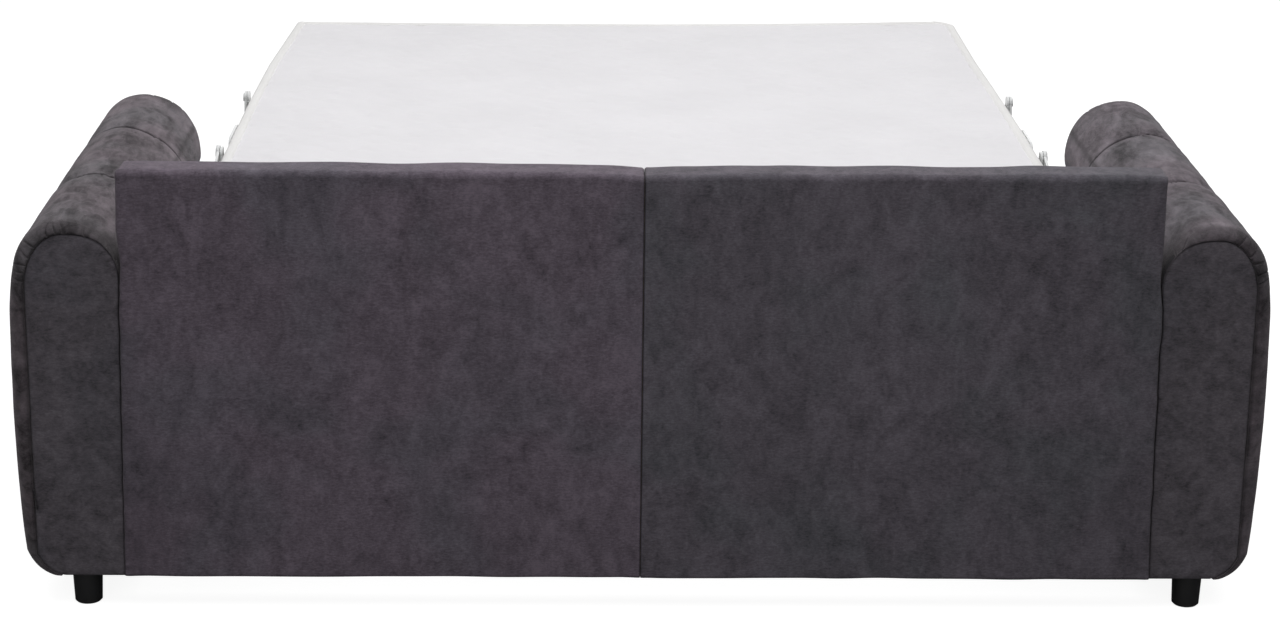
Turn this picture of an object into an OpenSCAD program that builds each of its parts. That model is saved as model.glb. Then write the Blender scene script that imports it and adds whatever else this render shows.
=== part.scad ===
// Sofa bed whose seat turns over: seat and back cushions stay fixed under the bed base, and a
// mattress in three parts lies on top of it. Drawn opened as a bed.
// Side views are drawn in two coordinates: u runs forward from the rear plane, z runs up.

/* [Overall] */
// Clear width between the two arms
inner_w = 1704; // [1640:4:1904]
// Height of the mattress top when the bed is open
bed_h = 545; // [540:1:560]
// Height of the feet under the sofa
foot_h = 55; // [45:1:60]
// Gap from the rear plane to the head end of the mattress
head_gap = 340; // [332:1:350]
// Height of the seat frame's middle when it is folded up as a sofa
seat_fold_h = 340; // [336:1:346]

/* [Mattress and bed base] */
// Length of the head part, on the seat section
head_len = 590; // [580:1:600]
// Length of the middle part, on the back section
middle_len = 540; // [530:1:560]
// Length of the foot part, on the foot section
foot_len = 840; // [800:5:850]
// Thickness of the mattress
mattress_t = 120; // [110:1:122]
// Height of the square steel tube of the frames
tube_h = 20; // [18:1:24]
// Width of the steel tube of the frames
tube_w = 30; // [25:1:40]
// Wall of the steel tube
tube_wall = 1.5; // [1:0.1:3]
// Diameter of the welded mesh wire
wire_d = 5; // [4:0.5:6]
// Largest pitch of the mesh wires
wire_pitch = 78; // [60:1:100]
// Largest pitch of the lengthwise mesh wires
long_wire_pitch = 196; // [150:1:220]

/* [Turn-over mechanism] */
// Gap between the mattress side and the arm
side_gap = 52; // [46:1:70]
// Thickness of the steel side plates and links
plate_t = 5; // [4:0.5:6]
// Air between two plates that pass each other
plate_gap = 1; // [0.8:0.1:2]
// Diameter of the main pivot pin
main_pin_d = 20; // [16:1:24]
// Diameter of the pin between seat and back section
hinge_pin_d = 12; // [10:1:14]
// Diameter of the pin between back and foot section, and at the ends of the link
fold_pin_d = 10; // [8:1:11]
// Radial running clearance of every pin
pin_play = 0.05; // [0.02:0.01:0.09]
// Width of the control link
link_w = 26; // [22:1:32]
// Distance of the link's pin in front of the seat and back hinge
link_lead = 100; // [80:2:110]
// Depth of the link's pin below the mattress top
link_drop = 12; // [8:1:30]
// Radial clearance of the link's open eye round its pin
link_play = 6.5; // [6:0.5:8]
// Radius of steel round each pin hole, beyond the hole
eye_rim = 8; // [6:0.5:10]
// Diameter of the plate bolts
bolt_d = 8; // [6:1:10]

/* [Folding legs] */
// Diameter of the leg tube
leg_d = 20; // [18:1:22]
// Distance of each leg's pivot from the end of the foot section
leg_lead = 60; // [50:1:80]
// Distance of the inner leg frame's tubes from the side of the bed base
inner_leg_in = 240; // [200:5:320]
// Distance of the outer leg frame's tubes from the side of the bed base
outer_leg_in = 100; // [70:5:140]
// Diameter of the leg's pivot pin
leg_pin_d = 8; // [6:1:10]
// Height of the inner frame's crossbar above the floor
inner_bar_z = 120; // [100:5:200]
// Height of the outer frame's crossbar above the floor
outer_bar_z = 330; // [310:5:340]
// Height of the rubber tip
tip_h = 22; // [15:1:40]

/* [Arms] */
// Width of the arm at its widest
arm_w = 193; // [180:1:220]
// Height of the arm
arm_h = 668; // [640:2:700]
// Length of the arm
arm_len = 980; // [940:5:1000]
// Distance of the arm's rear end from the rear plane
arm_inset = 5; // [0:1:10]
// Thickness of the padding over the arm frame
pad_t = 30; // [24:1:36]
// Thickness of the lining on the arm's inner face
lining_t = 3; // [2:0.5:6]
// Thickness of the plywood in the arm frame
ply_t = 15; // [12:1:18]
// Depth of the padded end facing
facing_t = 24; // [18:1:30]

/* [Rear panel] */
// Height of the rear panel's top edge
panel_h = 760; // [700:5:780]
// Thickness of the rear panel with its cover
panel_t = 70; // [60:1:74]
// Thickness of the padding on the rear panel
cover_t = 12; // [8:1:16]
// Dip of the panel's top edge at its middle
panel_dip = 5; // [0:1:10]
// Radius of the panel's padded top edges
panel_roll = 12; // [8:1:16]
// Thickness of the cover over the ends of the panel's board
end_cover_t = 4; // [3:0.5:8]

/* [Cushions and front] */
// Thickness of the seat cushions
seat_cushion_t = 125; // [110:1:130]
// Thickness of the back cushions
back_cushion_t = 120; // [100:1:125]
// Thickness of the boards of the fascia and the front rail
board_t = 12; // [9:1:15]
// Thickness of the padding on these boards
board_pad_t = 6; // [4:0.5:8]
// Height of the front rail's top
rail_top = 150; // [120:1:155]

/* [Feet] */
// Diameter of a foot at its top
foot_top_d = 50; // [44:1:60]
// Diameter of a foot at the floor
foot_bottom_d = 46; // [38:1:50]
// Distance of a foot's axis from the arm's inner face
foot_out = 81; // [70:1:100]
// Distance of a foot's axis from the end of the arm
foot_in = 30; // [30:1:60]

/* [Hidden] */
$fn = 48;

// Clearance of soft parts from what they lie against
soft_clear = 0.3;
// Overrun of every cut past the face that it cuts
cut = 1;
// Half the gap between the mattress parts at the fold
fold_gap = 0.5;
// Space that the folded stack keeps from the rear panel
stack_clear = 6.5;
// Space between a folded leg tube and the frame's tubes
leg_gap = 2;
// Gap of the frame tubes to the hinge axis between seat and back
tube_hinge_gap = 14;
// Gap of the frame tubes to the fold axis
tube_fold_gap = 2;

// Heights of the bed base: its tubes' middle plane and the mattress underside
mattress_z = bed_h - mattress_t;
frame_z = mattress_z - soft_clear - tube_h / 2;
mattress_w = inner_w - 2 * side_gap;

// Hinge axes of the open bed, as [u, z]
seat_hinge = [head_gap + head_len, frame_z];
fold_axis = [seat_hinge[0] + middle_len, bed_h + fold_gap];
bed_end = fold_axis[0] + foot_len;
// The seat hinge when folded up: behind it lie the back section, the foot section and its legs
folded_hinge_u = panel_t + stack_clear + leg_d + leg_gap + tube_h + 2 * soft_clear
    + 2 * mattress_t + 2 * fold_gap + tube_h / 2;
main_pivot = [(seat_hinge[0] + folded_hinge_u) / 2, (frame_z + seat_fold_h) / 2];

// Side layers, outward from the mattress: a seat and foot plates, b back plates, c links
layer_a = mattress_w / 2;
layer_b = layer_a + plate_t + plate_gap;
layer_c = layer_b + plate_t + plate_gap;
arm_in = inner_w / 2;
root_plate_x = arm_in - plate_t;

// Control link: its front pin in three positions of the turn, and the circle through them
function turn(p, a) = [p[0] * cos(a) - p[1] * sin(a), p[0] * sin(a) + p[1] * cos(a)];
link_pin = [seat_hinge[0] + link_lead, bed_h - link_drop];
function hinge_at(a) = main_pivot + turn(seat_hinge - main_pivot, a);
function link_pin_at(a) = hinge_at(a) + turn(link_pin - seat_hinge, a / 2);
function circle_centre(p, q, r) =
    let (a = q - p, b = r - p, d = 2 * (a[0] * b[1] - a[1] * b[0]))
    p + [b[1] * (a * a) - a[1] * (b * b), a[0] * (b * b) - b[0] * (a * a)] / d;
link_root = circle_centre(link_pin_at(0), link_pin_at(90), link_pin_at(180));
link_len = norm(link_pin - link_root);
link_angle = atan2(link_pin[1] - link_root[1], link_pin[0] - link_root[0]);

// Legs: pivots under the foot section's tubes
leg_pivot_z = frame_z - tube_h / 2 - leg_gap - leg_d / 2;
inner_leg_x = mattress_w / 2 - inner_leg_in;
outer_leg_x = mattress_w / 2 - outer_leg_in;
inner_leg_u = fold_axis[0] + leg_lead;
outer_leg_u = bed_end - leg_lead;
leg_eye_w = leg_d;
lug_t = 4;
lug_gap = 0.5;
pin_head_t = 2.5;
pin_head_rim = 4;

// Arm section, as [distance from the inner face, z]
arch_half = 93;
arch_rise = 110;
arm_top_w = arm_w - 4;
arm_foot_w = arm_w - 10;
arm_belly = 7;
arm_corner_h = 40;
arm_corner_in = 35;
pad_end_r = 26;
seam_depth_share = 0.32;
end_depth_share = 0.8;
seam_shares = [0.358, 0.711];
seam_w = 9;

// Share of a cushion's half width that its sides draw in between the corners
draw_share = 0.012;

module bed() translate([0, bed_end / 2, 0]) children();
module place(u, z) translate([0, -u, z]) children();
module left_side() bed() children();
module right_side() bed() mirror([1, 0, 0]) children();
module both_sides() {
    children();
    mirror([1, 0, 0]) children();
}

// Extrudes a side view, drawn in u and z, from x over the thickness t
module side_slab(x, t)
    translate([x, 0, 0]) rotate([90, 0, 90]) linear_extrude(t) mirror([1, 0]) children();

// Cylinder along X at the axis p, between two values of x
module x_rod(p, x0, x1, d)
    place(p[0], p[1]) translate([x0, 0, 0]) rotate([0, 90, 0]) cylinder(d = d, h = x1 - x0);

// Box between two values of x, of u and of z
module span_box(x, u, z)
    translate([x[0], -u[1], z[0]]) cube([x[1] - x[0], u[1] - u[0], z[1] - z[0]]);

module disc_at(p, d) translate(p) circle(d = d);
module strip(p, q, w)
    let (v = q - p, n = [-v[1], v[0]] * (w / 2) / norm(v)) polygon([p - n, q - n, q + n, p + n]);

// Solid between rings of points: each ring lists the outer line, then the inner line backwards
function ring_faces(rings, n) = [for (i = [0:rings - 2], k = [0:n - 1])
    [i * n + k, i * n + (k + 1) % n, (i + 1) * n + (k + 1) % n, (i + 1) * n + k]];
function shell_cap(base, half, flip) = [for (k = [0:half - 2])
    let (f = [base + k, base + k + 1, base + 2 * half - 2 - k, base + 2 * half - 1 - k])
    flip ? [for (j = [3:-1:0]) f[j]] : f];
function flip_faces(faces, flip) =
    flip ? [for (f = faces) [for (j = [len(f) - 1:-1:0]) f[j]]] : faces;
function blend_points(p, q, f) = [for (k = [0:len(p) - 1]) p[k] * (1 - f) + q[k] * f];
function reversed(p) = [for (k = [len(p) - 1:-1:0]) p[k]];

// Padded shell along u: outer and inner lines in x and z, drawn in by a share at each station
module shell_along_u(outer, inner, stations, shares) {
    half = len(outer);
    points = [for (i = [0:len(stations) - 1])
        for (p = concat(blend_points(outer, inner, shares[i]), reversed(inner)))
            [p[0], -stations[i], p[1]]];
    faces = concat(ring_faces(len(stations), 2 * half), shell_cap(0, half, true),
        shell_cap((len(stations) - 1) * 2 * half, half, false));
    polyhedron(points, flip_faces(faces, false), convexity = 6);
}

// Padded block along x: an outline in u and z, drawn in towards an inner one by a share at each
// station, with a drop of its top there
module block_along_x(outer, inner, stations, shares, top, drops) {
    n = len(outer);
    rings = len(stations);
    last = (rings - 1) * n;
    middle = (outer[0] + outer[n - 1]) / 2 + [0, top / 2];
    points = [for (i = [0:rings - 1]) for (p = blend_points(outer, inner, shares[i]))
        [stations[i], -p[0], p[1] - drops[i] * max(0, p[1] - top / 2) / (top / 2)]];
    ends = [for (x = [stations[0], stations[rings - 1]]) [x, -middle[0], middle[1]]];
    sides = [for (f = ring_faces(rings, n)) each [[f[0], f[1], f[2]], [f[0], f[2], f[3]]]];
    caps = [for (k = [0:n - 1]) each [[rings * n, (k + 1) % n, k],
        [rings * n + 1, last + k, last + (k + 1) % n]]];
    polyhedron(concat(points, ends), concat(sides, caps), convexity = 6);
}

// Rounded power of a sine or cosine, which squares off an ellipse
function soft_power(v, e) = sign(v) * pow(abs(v), e);

// Cushion: rings across x, crowned below and flat above, where it lies on its frame, with its
// sides drawn in between the corners
module cushion(size, square_share, edge_share, draw, rings, sides, flat_share) {
    half = size / 2;
    end_angle = 80;
    points = [for (i = [0:rings - 1])
        let (t = -end_angle + 2 * end_angle * i / (rings - 1),
            x = soft_power(sin(t), edge_share) / soft_power(sin(end_angle), edge_share),
            wide = soft_power(cos(t), edge_share / 3), thick = soft_power(cos(t), edge_share),
            pull = 1 - draw * (1 - x * x))
        for (k = [0:sides - 1])
            let (a = 360 * k / sides, c = soft_power(cos(a), square_share),
                s = soft_power(sin(a), square_share))
            [half[0] * x * (1 - draw * (1 - c * c) * abs(x)), -half[1] * wide * pull * c,
                half[2] * (s > 0 ? min(1, flat_share * thick * s) : thick * s)]];
    faces = concat(ring_faces(rings, sides), [[for (k = [sides - 1:-1:0]) k]],
        [[for (k = [0:sides - 1]) (rings - 1) * sides + k]]);
    polyhedron(points, flip_faces(faces, false), convexity = 4);
}

module cushion_in(x, u, z, square_share, edge_share, draw, rings, sides, flat_share)
    translate([(x[0] + x[1]) / 2, -(u[0] + u[1]) / 2, (z[0] + z[1]) / 2])
        cushion([x[1] - x[0], u[1] - u[0], z[1] - z[0]], square_share, edge_share, draw, rings, sides,
            flat_share);

// Arms
arch_z = arm_h - arch_rise;
arch_step = 20;
function arch(inset_in, inset_out, inset_top) = [for (a = [180:-arch_step:0])
    [arch_half + (a > 90 ? arch_half - inset_in : arm_top_w - arch_half - inset_out) * cos(a),
        arch_z + (arch_rise - inset_top) * sin(a)]];
corner_z = foot_h + arm_corner_h;
side_shares = [0.25, 0.5, 0.75];
function side_line(inset) = [for (s = side_shares)
    [arm_top_w + (arm_foot_w - arm_top_w) * s + arm_belly * 4 * s * (1 - s) - inset,
        arch_z + (corner_z - arch_z) * s]];
arm_outer_line = concat(arch(0, 0, 0), side_line(0),
    [[arm_foot_w, corner_z], [arm_foot_w - arm_corner_in * 0.3, foot_h + arm_corner_h * 0.3],
     [arm_foot_w - arm_corner_in, foot_h]]);
function core_line(extra) = concat(arch(lining_t - extra, pad_t - extra, pad_t - extra),
    [for (s = side_shares) [arm_top_w - pad_t + extra, arch_z + (corner_z - arch_z) * s]],
    [[arm_top_w - pad_t + extra, corner_z],
     [arm_top_w - pad_t - arm_corner_in * 0.3 + extra, foot_h + arm_corner_h * 0.4],
     [arm_foot_w - pad_t - arm_corner_in + extra, foot_h]]);
core_outline = concat(core_line(0), [[lining_t, foot_h]]);

arm_rear = arm_inset;
arm_front = arm_inset + arm_len;
core_rear = arm_rear + facing_t + soft_clear;
core_front = arm_front - facing_t - soft_clear;
former_count = 6;
former_pitch = (core_front - core_rear - ply_t) / (former_count - 1);
stringer = 40;

module arm_slab(u, t, points)
    translate([arm_in, -u, 0]) rotate([90, 0, 0]) linear_extrude(t) polygon(points);

module arm_frame() color("burlywood") {
    for (i = [0:former_count - 1]) arm_slab(core_rear + i * former_pitch, ply_t, core_outline);
    span_box([arm_in + lining_t, arm_in + lining_t + ply_t], [core_rear, core_front], [foot_h, arch_z]);
    span_box([arm_in + lining_t, arm_in + arm_foot_w - pad_t - arm_corner_in], [core_rear, core_front],
        [foot_h, foot_h + ply_t]);
    span_box([arm_in + arch_half - stringer / 2, arm_in + arch_half + stringer / 2],
        [core_rear, core_front], [arm_h - pad_t - stringer, arm_h - pad_t - stringer / 4]);
    span_box([arm_in + arm_top_w - pad_t - ply_t, arm_in + arm_top_w - pad_t],
        [core_rear, core_front], [arch_z / 2, arch_z / 2 + stringer]);
}

function end_share(e) = e >= pad_end_r ? 0
    : end_depth_share * (1 - sqrt(1 - pow(1 - e / pad_end_r, 2)));
seam_stations = [for (s = seam_shares) arm_rear + s * arm_len];
seam_offsets = [-3 * seam_w, -seam_w, 0, seam_w, 3 * seam_w];
end_offsets = [0, pad_end_r * 0.12, pad_end_r * 0.4, pad_end_r];
arm_stations = concat([for (e = end_offsets) arm_rear + e],
    [(arm_rear + seam_stations[0]) / 2], [for (o = seam_offsets) seam_stations[0] + o],
    [(seam_stations[0] + seam_stations[1]) / 2], [for (o = seam_offsets) seam_stations[1] + o],
    [(seam_stations[1] + arm_front) / 2], [for (e = reversed(end_offsets)) arm_front - e]);
function seam_share(u) = seam_depth_share * max([for (s = seam_stations) exp(-pow((u - s) / seam_w, 2))]);
arm_shares = [for (u = arm_stations) max(end_share(min(u - arm_rear, arm_front - u)), seam_share(u))];

module arm_padding() color("dimgray") translate([arm_in, 0, 0])
    shell_along_u(arm_outer_line, core_line(soft_clear), arm_stations, arm_shares);

module arm_lining() color("dimgray") span_box([arm_in, arm_in + lining_t - soft_clear],
    [arm_rear + lining_t, arm_front - lining_t], [foot_h, arch_z - soft_clear]);

// Arched end facing, domed outward from its sewn edge
facing_shares = [1, 1, 0.86, 0.5];
module facing(u_back, u_front, dome) {
    outline = core_outline;
    centre = [arch_half, arch_z * 0.62];
    depth = u_front - u_back;
    stations = [u_back, u_front - dome, u_front - dome * 0.3, u_front];
    n = len(outline);
    points = [for (i = [0:len(stations) - 1]) for (p = outline)
        let (q = centre + (p - centre) * facing_shares[i]) [arm_in + q[0], -stations[i], q[1]]];
    faces = concat(ring_faces(len(stations), n), [[for (k = [n - 1:-1:0]) k]],
        [[for (k = [0:n - 1]) 3 * n + k]]);
    polyhedron(points, flip_faces(faces, depth < 0), convexity = 4);
}
facing_dome = 7;
module rear_facing() color("gray") facing(core_rear - soft_clear, arm_rear, -facing_dome);
module front_facing() color("gray") facing(core_front + soft_clear, arm_front, facing_dome);

// Rear panel: its board, grown on every side for the hollow that it takes in the cover
panel_half = arm_in - soft_clear;
board_half = panel_half - end_cover_t;
module panel_core(grow, bottom)
    translate([0, -cover_t + grow, 0]) rotate([90, 0, 0]) linear_extrude(panel_t - 2 * cover_t + 2 * grow)
        polygon([[-board_half - grow, bottom], [board_half + grow, bottom],
            [board_half + grow, panel_h - cover_t + grow], [0, panel_h - cover_t - panel_dip + grow],
            [-board_half - grow, panel_h - cover_t + grow]]);
module rear_panel_board() color("burlywood") bed() panel_core(0, foot_h);

cover_rows = [0, 0.06, 0.35, 0.7, 1];
function panel_line(inset) = concat(
    [for (r = cover_rows) [inset, foot_h + (panel_h - panel_roll - foot_h) * r]],
    [for (a = [150:-30:90]) [panel_roll + (panel_roll - inset) * cos(a),
        panel_h - panel_roll + (panel_roll - inset) * sin(a)]],
    [for (a = [90:-30:30]) [panel_t - panel_roll + (panel_roll - inset) * cos(a),
        panel_h - panel_roll + (panel_roll - inset) * sin(a)]],
    [[panel_t - inset, panel_h - panel_roll], [panel_t - inset, foot_h]]);
function board_line(inset) = concat(
    [for (r = cover_rows) [inset, foot_h + (panel_h - inset - foot_h) * min(r, 1)]],
    [for (s = [0.1, 0.25, 0.4, 0.6, 0.75, 0.9]) [inset + (panel_t - 2 * inset) * s, panel_h - inset]],
    [[panel_t - inset, panel_h - inset], [panel_t - inset, foot_h]]);
cover_shares = [0.45, 0.16, 0.04, 0, 0, 0, 0.1, 0.45];
cover_stations = [0.0006, 0.012, 0.05, 0.3, 0.7, 0.95, 0.988, 1];
module rear_cover() color("dimgray") bed() difference() {
    block_along_x(panel_line(0), board_line(cover_t), [for (s = cover_stations) s * panel_half],
        cover_shares, panel_h, [for (s = cover_stations) panel_dip * (1 - s)]);
    panel_core(soft_clear, foot_h - cut);
}

// Front rail, low between the arms
rail_front = arm_front - board_pad_t;
module front_rail_board() color("burlywood") bed()
    span_box([-panel_half, panel_half], [rail_front - board_t, rail_front],
        [foot_h + board_pad_t, rail_top - board_pad_t]);
function rail_line(inset) = concat(
    [[arm_front - inset, foot_h + board_pad_t], [arm_front - inset, rail_top - board_pad_t]],
    [[arm_front - board_pad_t * 0.3 - inset * 0.7, rail_top - board_pad_t * 0.3 - inset * 0.7]],
    [[rail_front - inset, rail_top - inset],
     [rail_front - board_t - board_pad_t / 2 + inset / 2, rail_top - inset],
     [rail_front - board_t - board_pad_t / 2 + inset / 2, foot_h + board_pad_t]]);
module front_rail_cover() color("dimgray") bed() difference() {
    side_slab(-panel_half, 2 * panel_half) polygon(rail_line(0));
    span_box([-panel_half - cut, panel_half + cut],
        [rail_front - board_t - soft_clear, rail_front + soft_clear],
        [foot_h, rail_top - board_pad_t + soft_clear]);
}

// Feet: tapered turned feet, each with its screw stud in the arm frame
stud_d = 10;
stud_len = 30;
foot_glide = 3;
module sofa_foot(u) color("black") translate([arm_in + foot_out, -u, 0]) difference() {
    rotate_extrude() polygon([[0, 0], [foot_bottom_d / 2 - foot_glide, 0], [foot_bottom_d / 2, foot_glide],
        [foot_top_d / 2, foot_h - foot_glide], [foot_top_d / 2, foot_h], [0, foot_h]]);
    translate([0, 0, foot_h - stud_len]) cylinder(d = stud_d + 2 * pin_play, h = stud_len + cut);
}
rear_foot_u = arm_rear + foot_in;
front_foot_u = arm_front - foot_in;
module foot_studs() color("silver") bed() both_sides()
    for (u = [rear_foot_u, front_foot_u]) translate([arm_in + foot_out, -u, foot_h - stud_len])
        cylinder(d = stud_d, h = stud_len);

// Side plates on the arms: they carry the main pivot and the link
plate_margin = 36;
bolt_places = [[-150, -60], [150, -60], [-110, 100], [110, 100]];
module side_plate() color("silver") difference() {
    side_slab(root_plate_x, plate_t) difference() {
        union() {
            for (b = bolt_places) disc_at(main_pivot + b, 2 * plate_margin);
            strip(main_pivot + bolt_places[0], main_pivot + bolt_places[1], 2 * plate_margin);
            strip(main_pivot + bolt_places[2], main_pivot + bolt_places[3], 2 * plate_margin);
            polygon([for (i = [0, 1, 3, 2]) main_pivot + bolt_places[i]]);
        }
        plate_holes(concat([[main_pivot, main_pin_d], [link_root, fold_pin_d]],
            [for (b = bolt_places) [main_pivot + b, bolt_d]]));
    }
}
bolt_head_t = 5;
module side_plate_bolts() color("silver") bed() both_sides() for (b = bolt_places) {
    x_rod(main_pivot + b, root_plate_x - bolt_head_t, root_plate_x, 2 * bolt_d);
    x_rod(main_pivot + b, root_plate_x - bolt_head_t / 2, arm_in, bolt_d);
}

// A pin with a shoulder that stands out of the arm's side plate, and a head at its inner end
module root_pin(p, d, x_end) {
    shoulder = 2 * eye_rim * 0.8;
    x_rod(p, x_end - pin_head_t - plate_gap / 2, arm_in, d);
    x_rod(p, x_end + plate_t + plate_gap / 2, root_plate_x, d + shoulder);
    x_rod(p, x_end - pin_head_t - plate_gap / 2, x_end - plate_gap / 2, d + 2 * pin_head_rim);
}
module main_pivot_pins() color("silver") bed() both_sides() root_pin(main_pivot, main_pin_d, layer_a);
module link_root_pins() color("silver") bed() both_sides() root_pin(link_root, fold_pin_d, layer_c);

// Welded frame of one section: hollow tubes round it, and a mesh of wires flush with their tops
module tube_runs(u0, u1, inset) {
    half = mattress_w / 2;
    z = [frame_z - tube_h / 2 + inset, frame_z + tube_h / 2 - inset];
    both_sides() span_box([half - tube_w + inset, half - inset], [u0 + inset, u1 - inset], z);
    for (u = [u0, u1 - tube_w]) span_box([-half + inset, half - inset], [u + inset, u + tube_w - inset], z);
}
module section_frame(u0, u1) color("slategray") bed() {
    half = mattress_w / 2 - tube_w;
    wire_z = frame_z + tube_h / 2 - wire_d / 2;
    clear_u = u1 - u0 - 2 * tube_w;
    cross_count = ceil(clear_u / wire_pitch) - 1;
    long_count = ceil(2 * half / long_wire_pitch) - 1;
    difference() {
        tube_runs(u0, u1, 0);
        tube_runs(u0, u1, tube_wall);
    }
    for (i = [1:cross_count]) {
        u = u0 + tube_w + clear_u * i / (cross_count + 1);
        x_rod([u, wire_z], -half - tube_wall, half + tube_wall, wire_d);
    }
    for (i = [1:long_count])
        translate([-half + 2 * half * i / (long_count + 1), -(u0 + tube_w - tube_wall),
            wire_z - wire_d * 0.8]) rotate([90, 0, 0]) cylinder(d = wire_d, h = clear_u + 2 * tube_wall);
}

// Seat section
seat_u = [head_gap, seat_hinge[0] - tube_hinge_gap];
back_u = [seat_hinge[0] + tube_hinge_gap, fold_axis[0] - tube_fold_gap];
foot_u = [fold_axis[0] + tube_fold_gap, bed_end - tube_fold_gap];
plate_h = 26;

// Holes for pins, each place as [[u, z], diameter of the pin]
module plate_holes(places) for (p = places) disc_at(p[0], p[1] + 2 * pin_play);

module seat_plate() color("slategray") side_slab(layer_a, plate_t) difference() {
    union() {
        strip([main_pivot[0] - plate_margin * 3, frame_z], seat_hinge, plate_h);
        disc_at(seat_hinge, plate_h);
        disc_at(main_pivot, main_pin_d + 2 * eye_rim);
        polygon([main_pivot + [-plate_margin * 2, frame_z - main_pivot[1]],
            main_pivot - [main_pin_d / 2 + eye_rim, 0], main_pivot + [main_pin_d / 2 + eye_rim, 0],
            main_pivot + [plate_margin * 2, frame_z - main_pivot[1]]]);
    }
    plate_holes([[main_pivot, main_pin_d], [seat_hinge, hinge_pin_d]]);
}
// A rivet through two plates: its head lies inside them or outside, and its other end is flush
module plate_pin(p, d, head_x) {
    x_rod(p, layer_a, layer_b + plate_t + plate_gap / 4, d);
    x_rod(p, head_x, head_x + pin_head_t, d + 2 * pin_head_rim);
}
module seat_hinge_pins() color("silver") bed() both_sides()
    plate_pin(seat_hinge, hinge_pin_d, layer_a - pin_head_t);

mattress_half = mattress_w / 2 - soft_clear;
mattress_square_share = 0.1;
mattress_edge_share = 0.1;
module mattress_part(u0, u1) color("ivory") bed()
    cushion_in([-mattress_half, mattress_half], [u0, u1], [mattress_z, bed_h],
        mattress_square_share, mattress_edge_share, 0, 11, 20, 1);

cushion_square_share = 0.26;
cushion_edge_share = 0.32;
fascia_u = head_gap - soft_clear - board_t - board_pad_t;
// The back cushion swings under the seat frame: the seat cushion ends where it passes
back_cushion_lead = tube_h / 2 + cut;
swing_r = norm([back_cushion_lead, tube_h / 2 + soft_clear + back_cushion_t]);
cushion_z = frame_z - tube_h / 2 - soft_clear;
middle_gap = 2;
cushion_flat_share = 1.3;
cushion_side = mattress_w / 2 - pin_head_t - plate_gap - soft_clear;
module seat_cushion() color("dimgray")
    cushion_in([middle_gap, cushion_side], [fascia_u, seat_hinge[0] - swing_r - 3 * cut],
        [cushion_z - seat_cushion_t, cushion_z], cushion_square_share, cushion_edge_share, draw_share,
        13, 24, cushion_flat_share);

fascia_z = [cushion_z, bed_h - 2 * cut];
fascia_half = mattress_w / 2 - cut;
module fascia_board() color("burlywood") bed()
    span_box([-fascia_half, fascia_half], [head_gap - soft_clear - board_t, head_gap - soft_clear],
        [cushion_z + soft_clear, fascia_z[1] - board_pad_t]);
fascia_round = 16;
module fascia_cover() color("dimgray") bed() side_slab(-fascia_half, 2 * fascia_half) polygon(concat(
    [[fascia_u, cushion_z + soft_clear], [fascia_u, fascia_z[1] - 1.6 * fascia_round]],
    [for (a = [150:-30:90]) [fascia_u + board_pad_t * 1.5 + board_pad_t * 1.5 * cos(a),
        fascia_z[1] - 1.6 * fascia_round + 1.6 * fascia_round * sin(a)]],
    [[head_gap - soft_clear, fascia_z[1]], [head_gap - soft_clear, fascia_z[1] - board_pad_t],
     [head_gap - 2 * soft_clear - board_t, fascia_z[1] - board_pad_t],
     [head_gap - 2 * soft_clear - board_t, cushion_z + soft_clear]]));

// Back section: spacers hold its side plates off the frame, and the first carries a flat guard
// that rises beside the mattress
spacer_shares = [0.42, 0.72];
spacer_len = 40;
guard_shares = [0.33, 0.59];
guard_drop = 2;
guard_r = 20;
module mattress_guard() side_slab(layer_a, plate_t) {
    from = seat_hinge[0] + guard_shares[0] * middle_len;
    to = seat_hinge[0] + guard_shares[1] * middle_len;
    low = frame_z - tube_h / 2;
    top = bed_h - guard_drop;
    translate([from, low]) square([to - from, top - guard_r - low]);
    translate([from + guard_r, low]) square([to - from - 2 * guard_r, top - low]);
    for (u = [from + guard_r, to - guard_r]) disc_at([u, top - guard_r], 2 * guard_r);
}
module back_plate() color("slategray") {
    side_slab(layer_b, plate_t) difference() {
        union() {
            strip(seat_hinge, [fold_axis[0] - plate_h, frame_z], plate_h);
            disc_at(seat_hinge, plate_h);
            strip([fold_axis[0] - plate_h, frame_z - plate_h / 2], fold_axis - [0, fold_pin_d / 2],
                plate_h);
            disc_at(fold_axis, fold_pin_d + 2 * eye_rim);
            strip(link_pin - [0, link_pin[1] - frame_z], link_pin, fold_pin_d + 2 * eye_rim);
            disc_at(link_pin, fold_pin_d + 2 * eye_rim);
        }
        plate_holes([[seat_hinge, hinge_pin_d], [fold_axis, fold_pin_d], [link_pin, fold_pin_d]]);
    }
    for (s = spacer_shares) let (u = seat_hinge[0] + s * middle_len)
        span_box([mattress_w / 2, layer_b], [u, u + spacer_len],
            [frame_z - tube_h / 2, frame_z + tube_h / 2]);
    mattress_guard();
}
module fold_pins() color("silver") bed() both_sides()
    plate_pin(fold_axis, fold_pin_d, layer_b + plate_t + plate_gap / 4);
washer_t = 2;
module link_back_pins() color("silver") bed() both_sides() {
    outer = layer_c + plate_t;
    x_rod(link_pin, layer_b, outer + plate_gap / 2, fold_pin_d);
    x_rod(link_pin, outer + plate_gap / 2, outer + plate_gap / 2 + washer_t,
        fold_pin_d + 2 * link_play + 2 * pin_head_rim);
}
module back_cushion() color("dimgray")
    cushion_in([middle_gap, cushion_side],
        [seat_hinge[0] + back_cushion_lead, fold_axis[0] - tube_fold_gap],
        [cushion_z - back_cushion_t, cushion_z], cushion_square_share, cushion_edge_share, draw_share,
        13, 24, cushion_flat_share);

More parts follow.
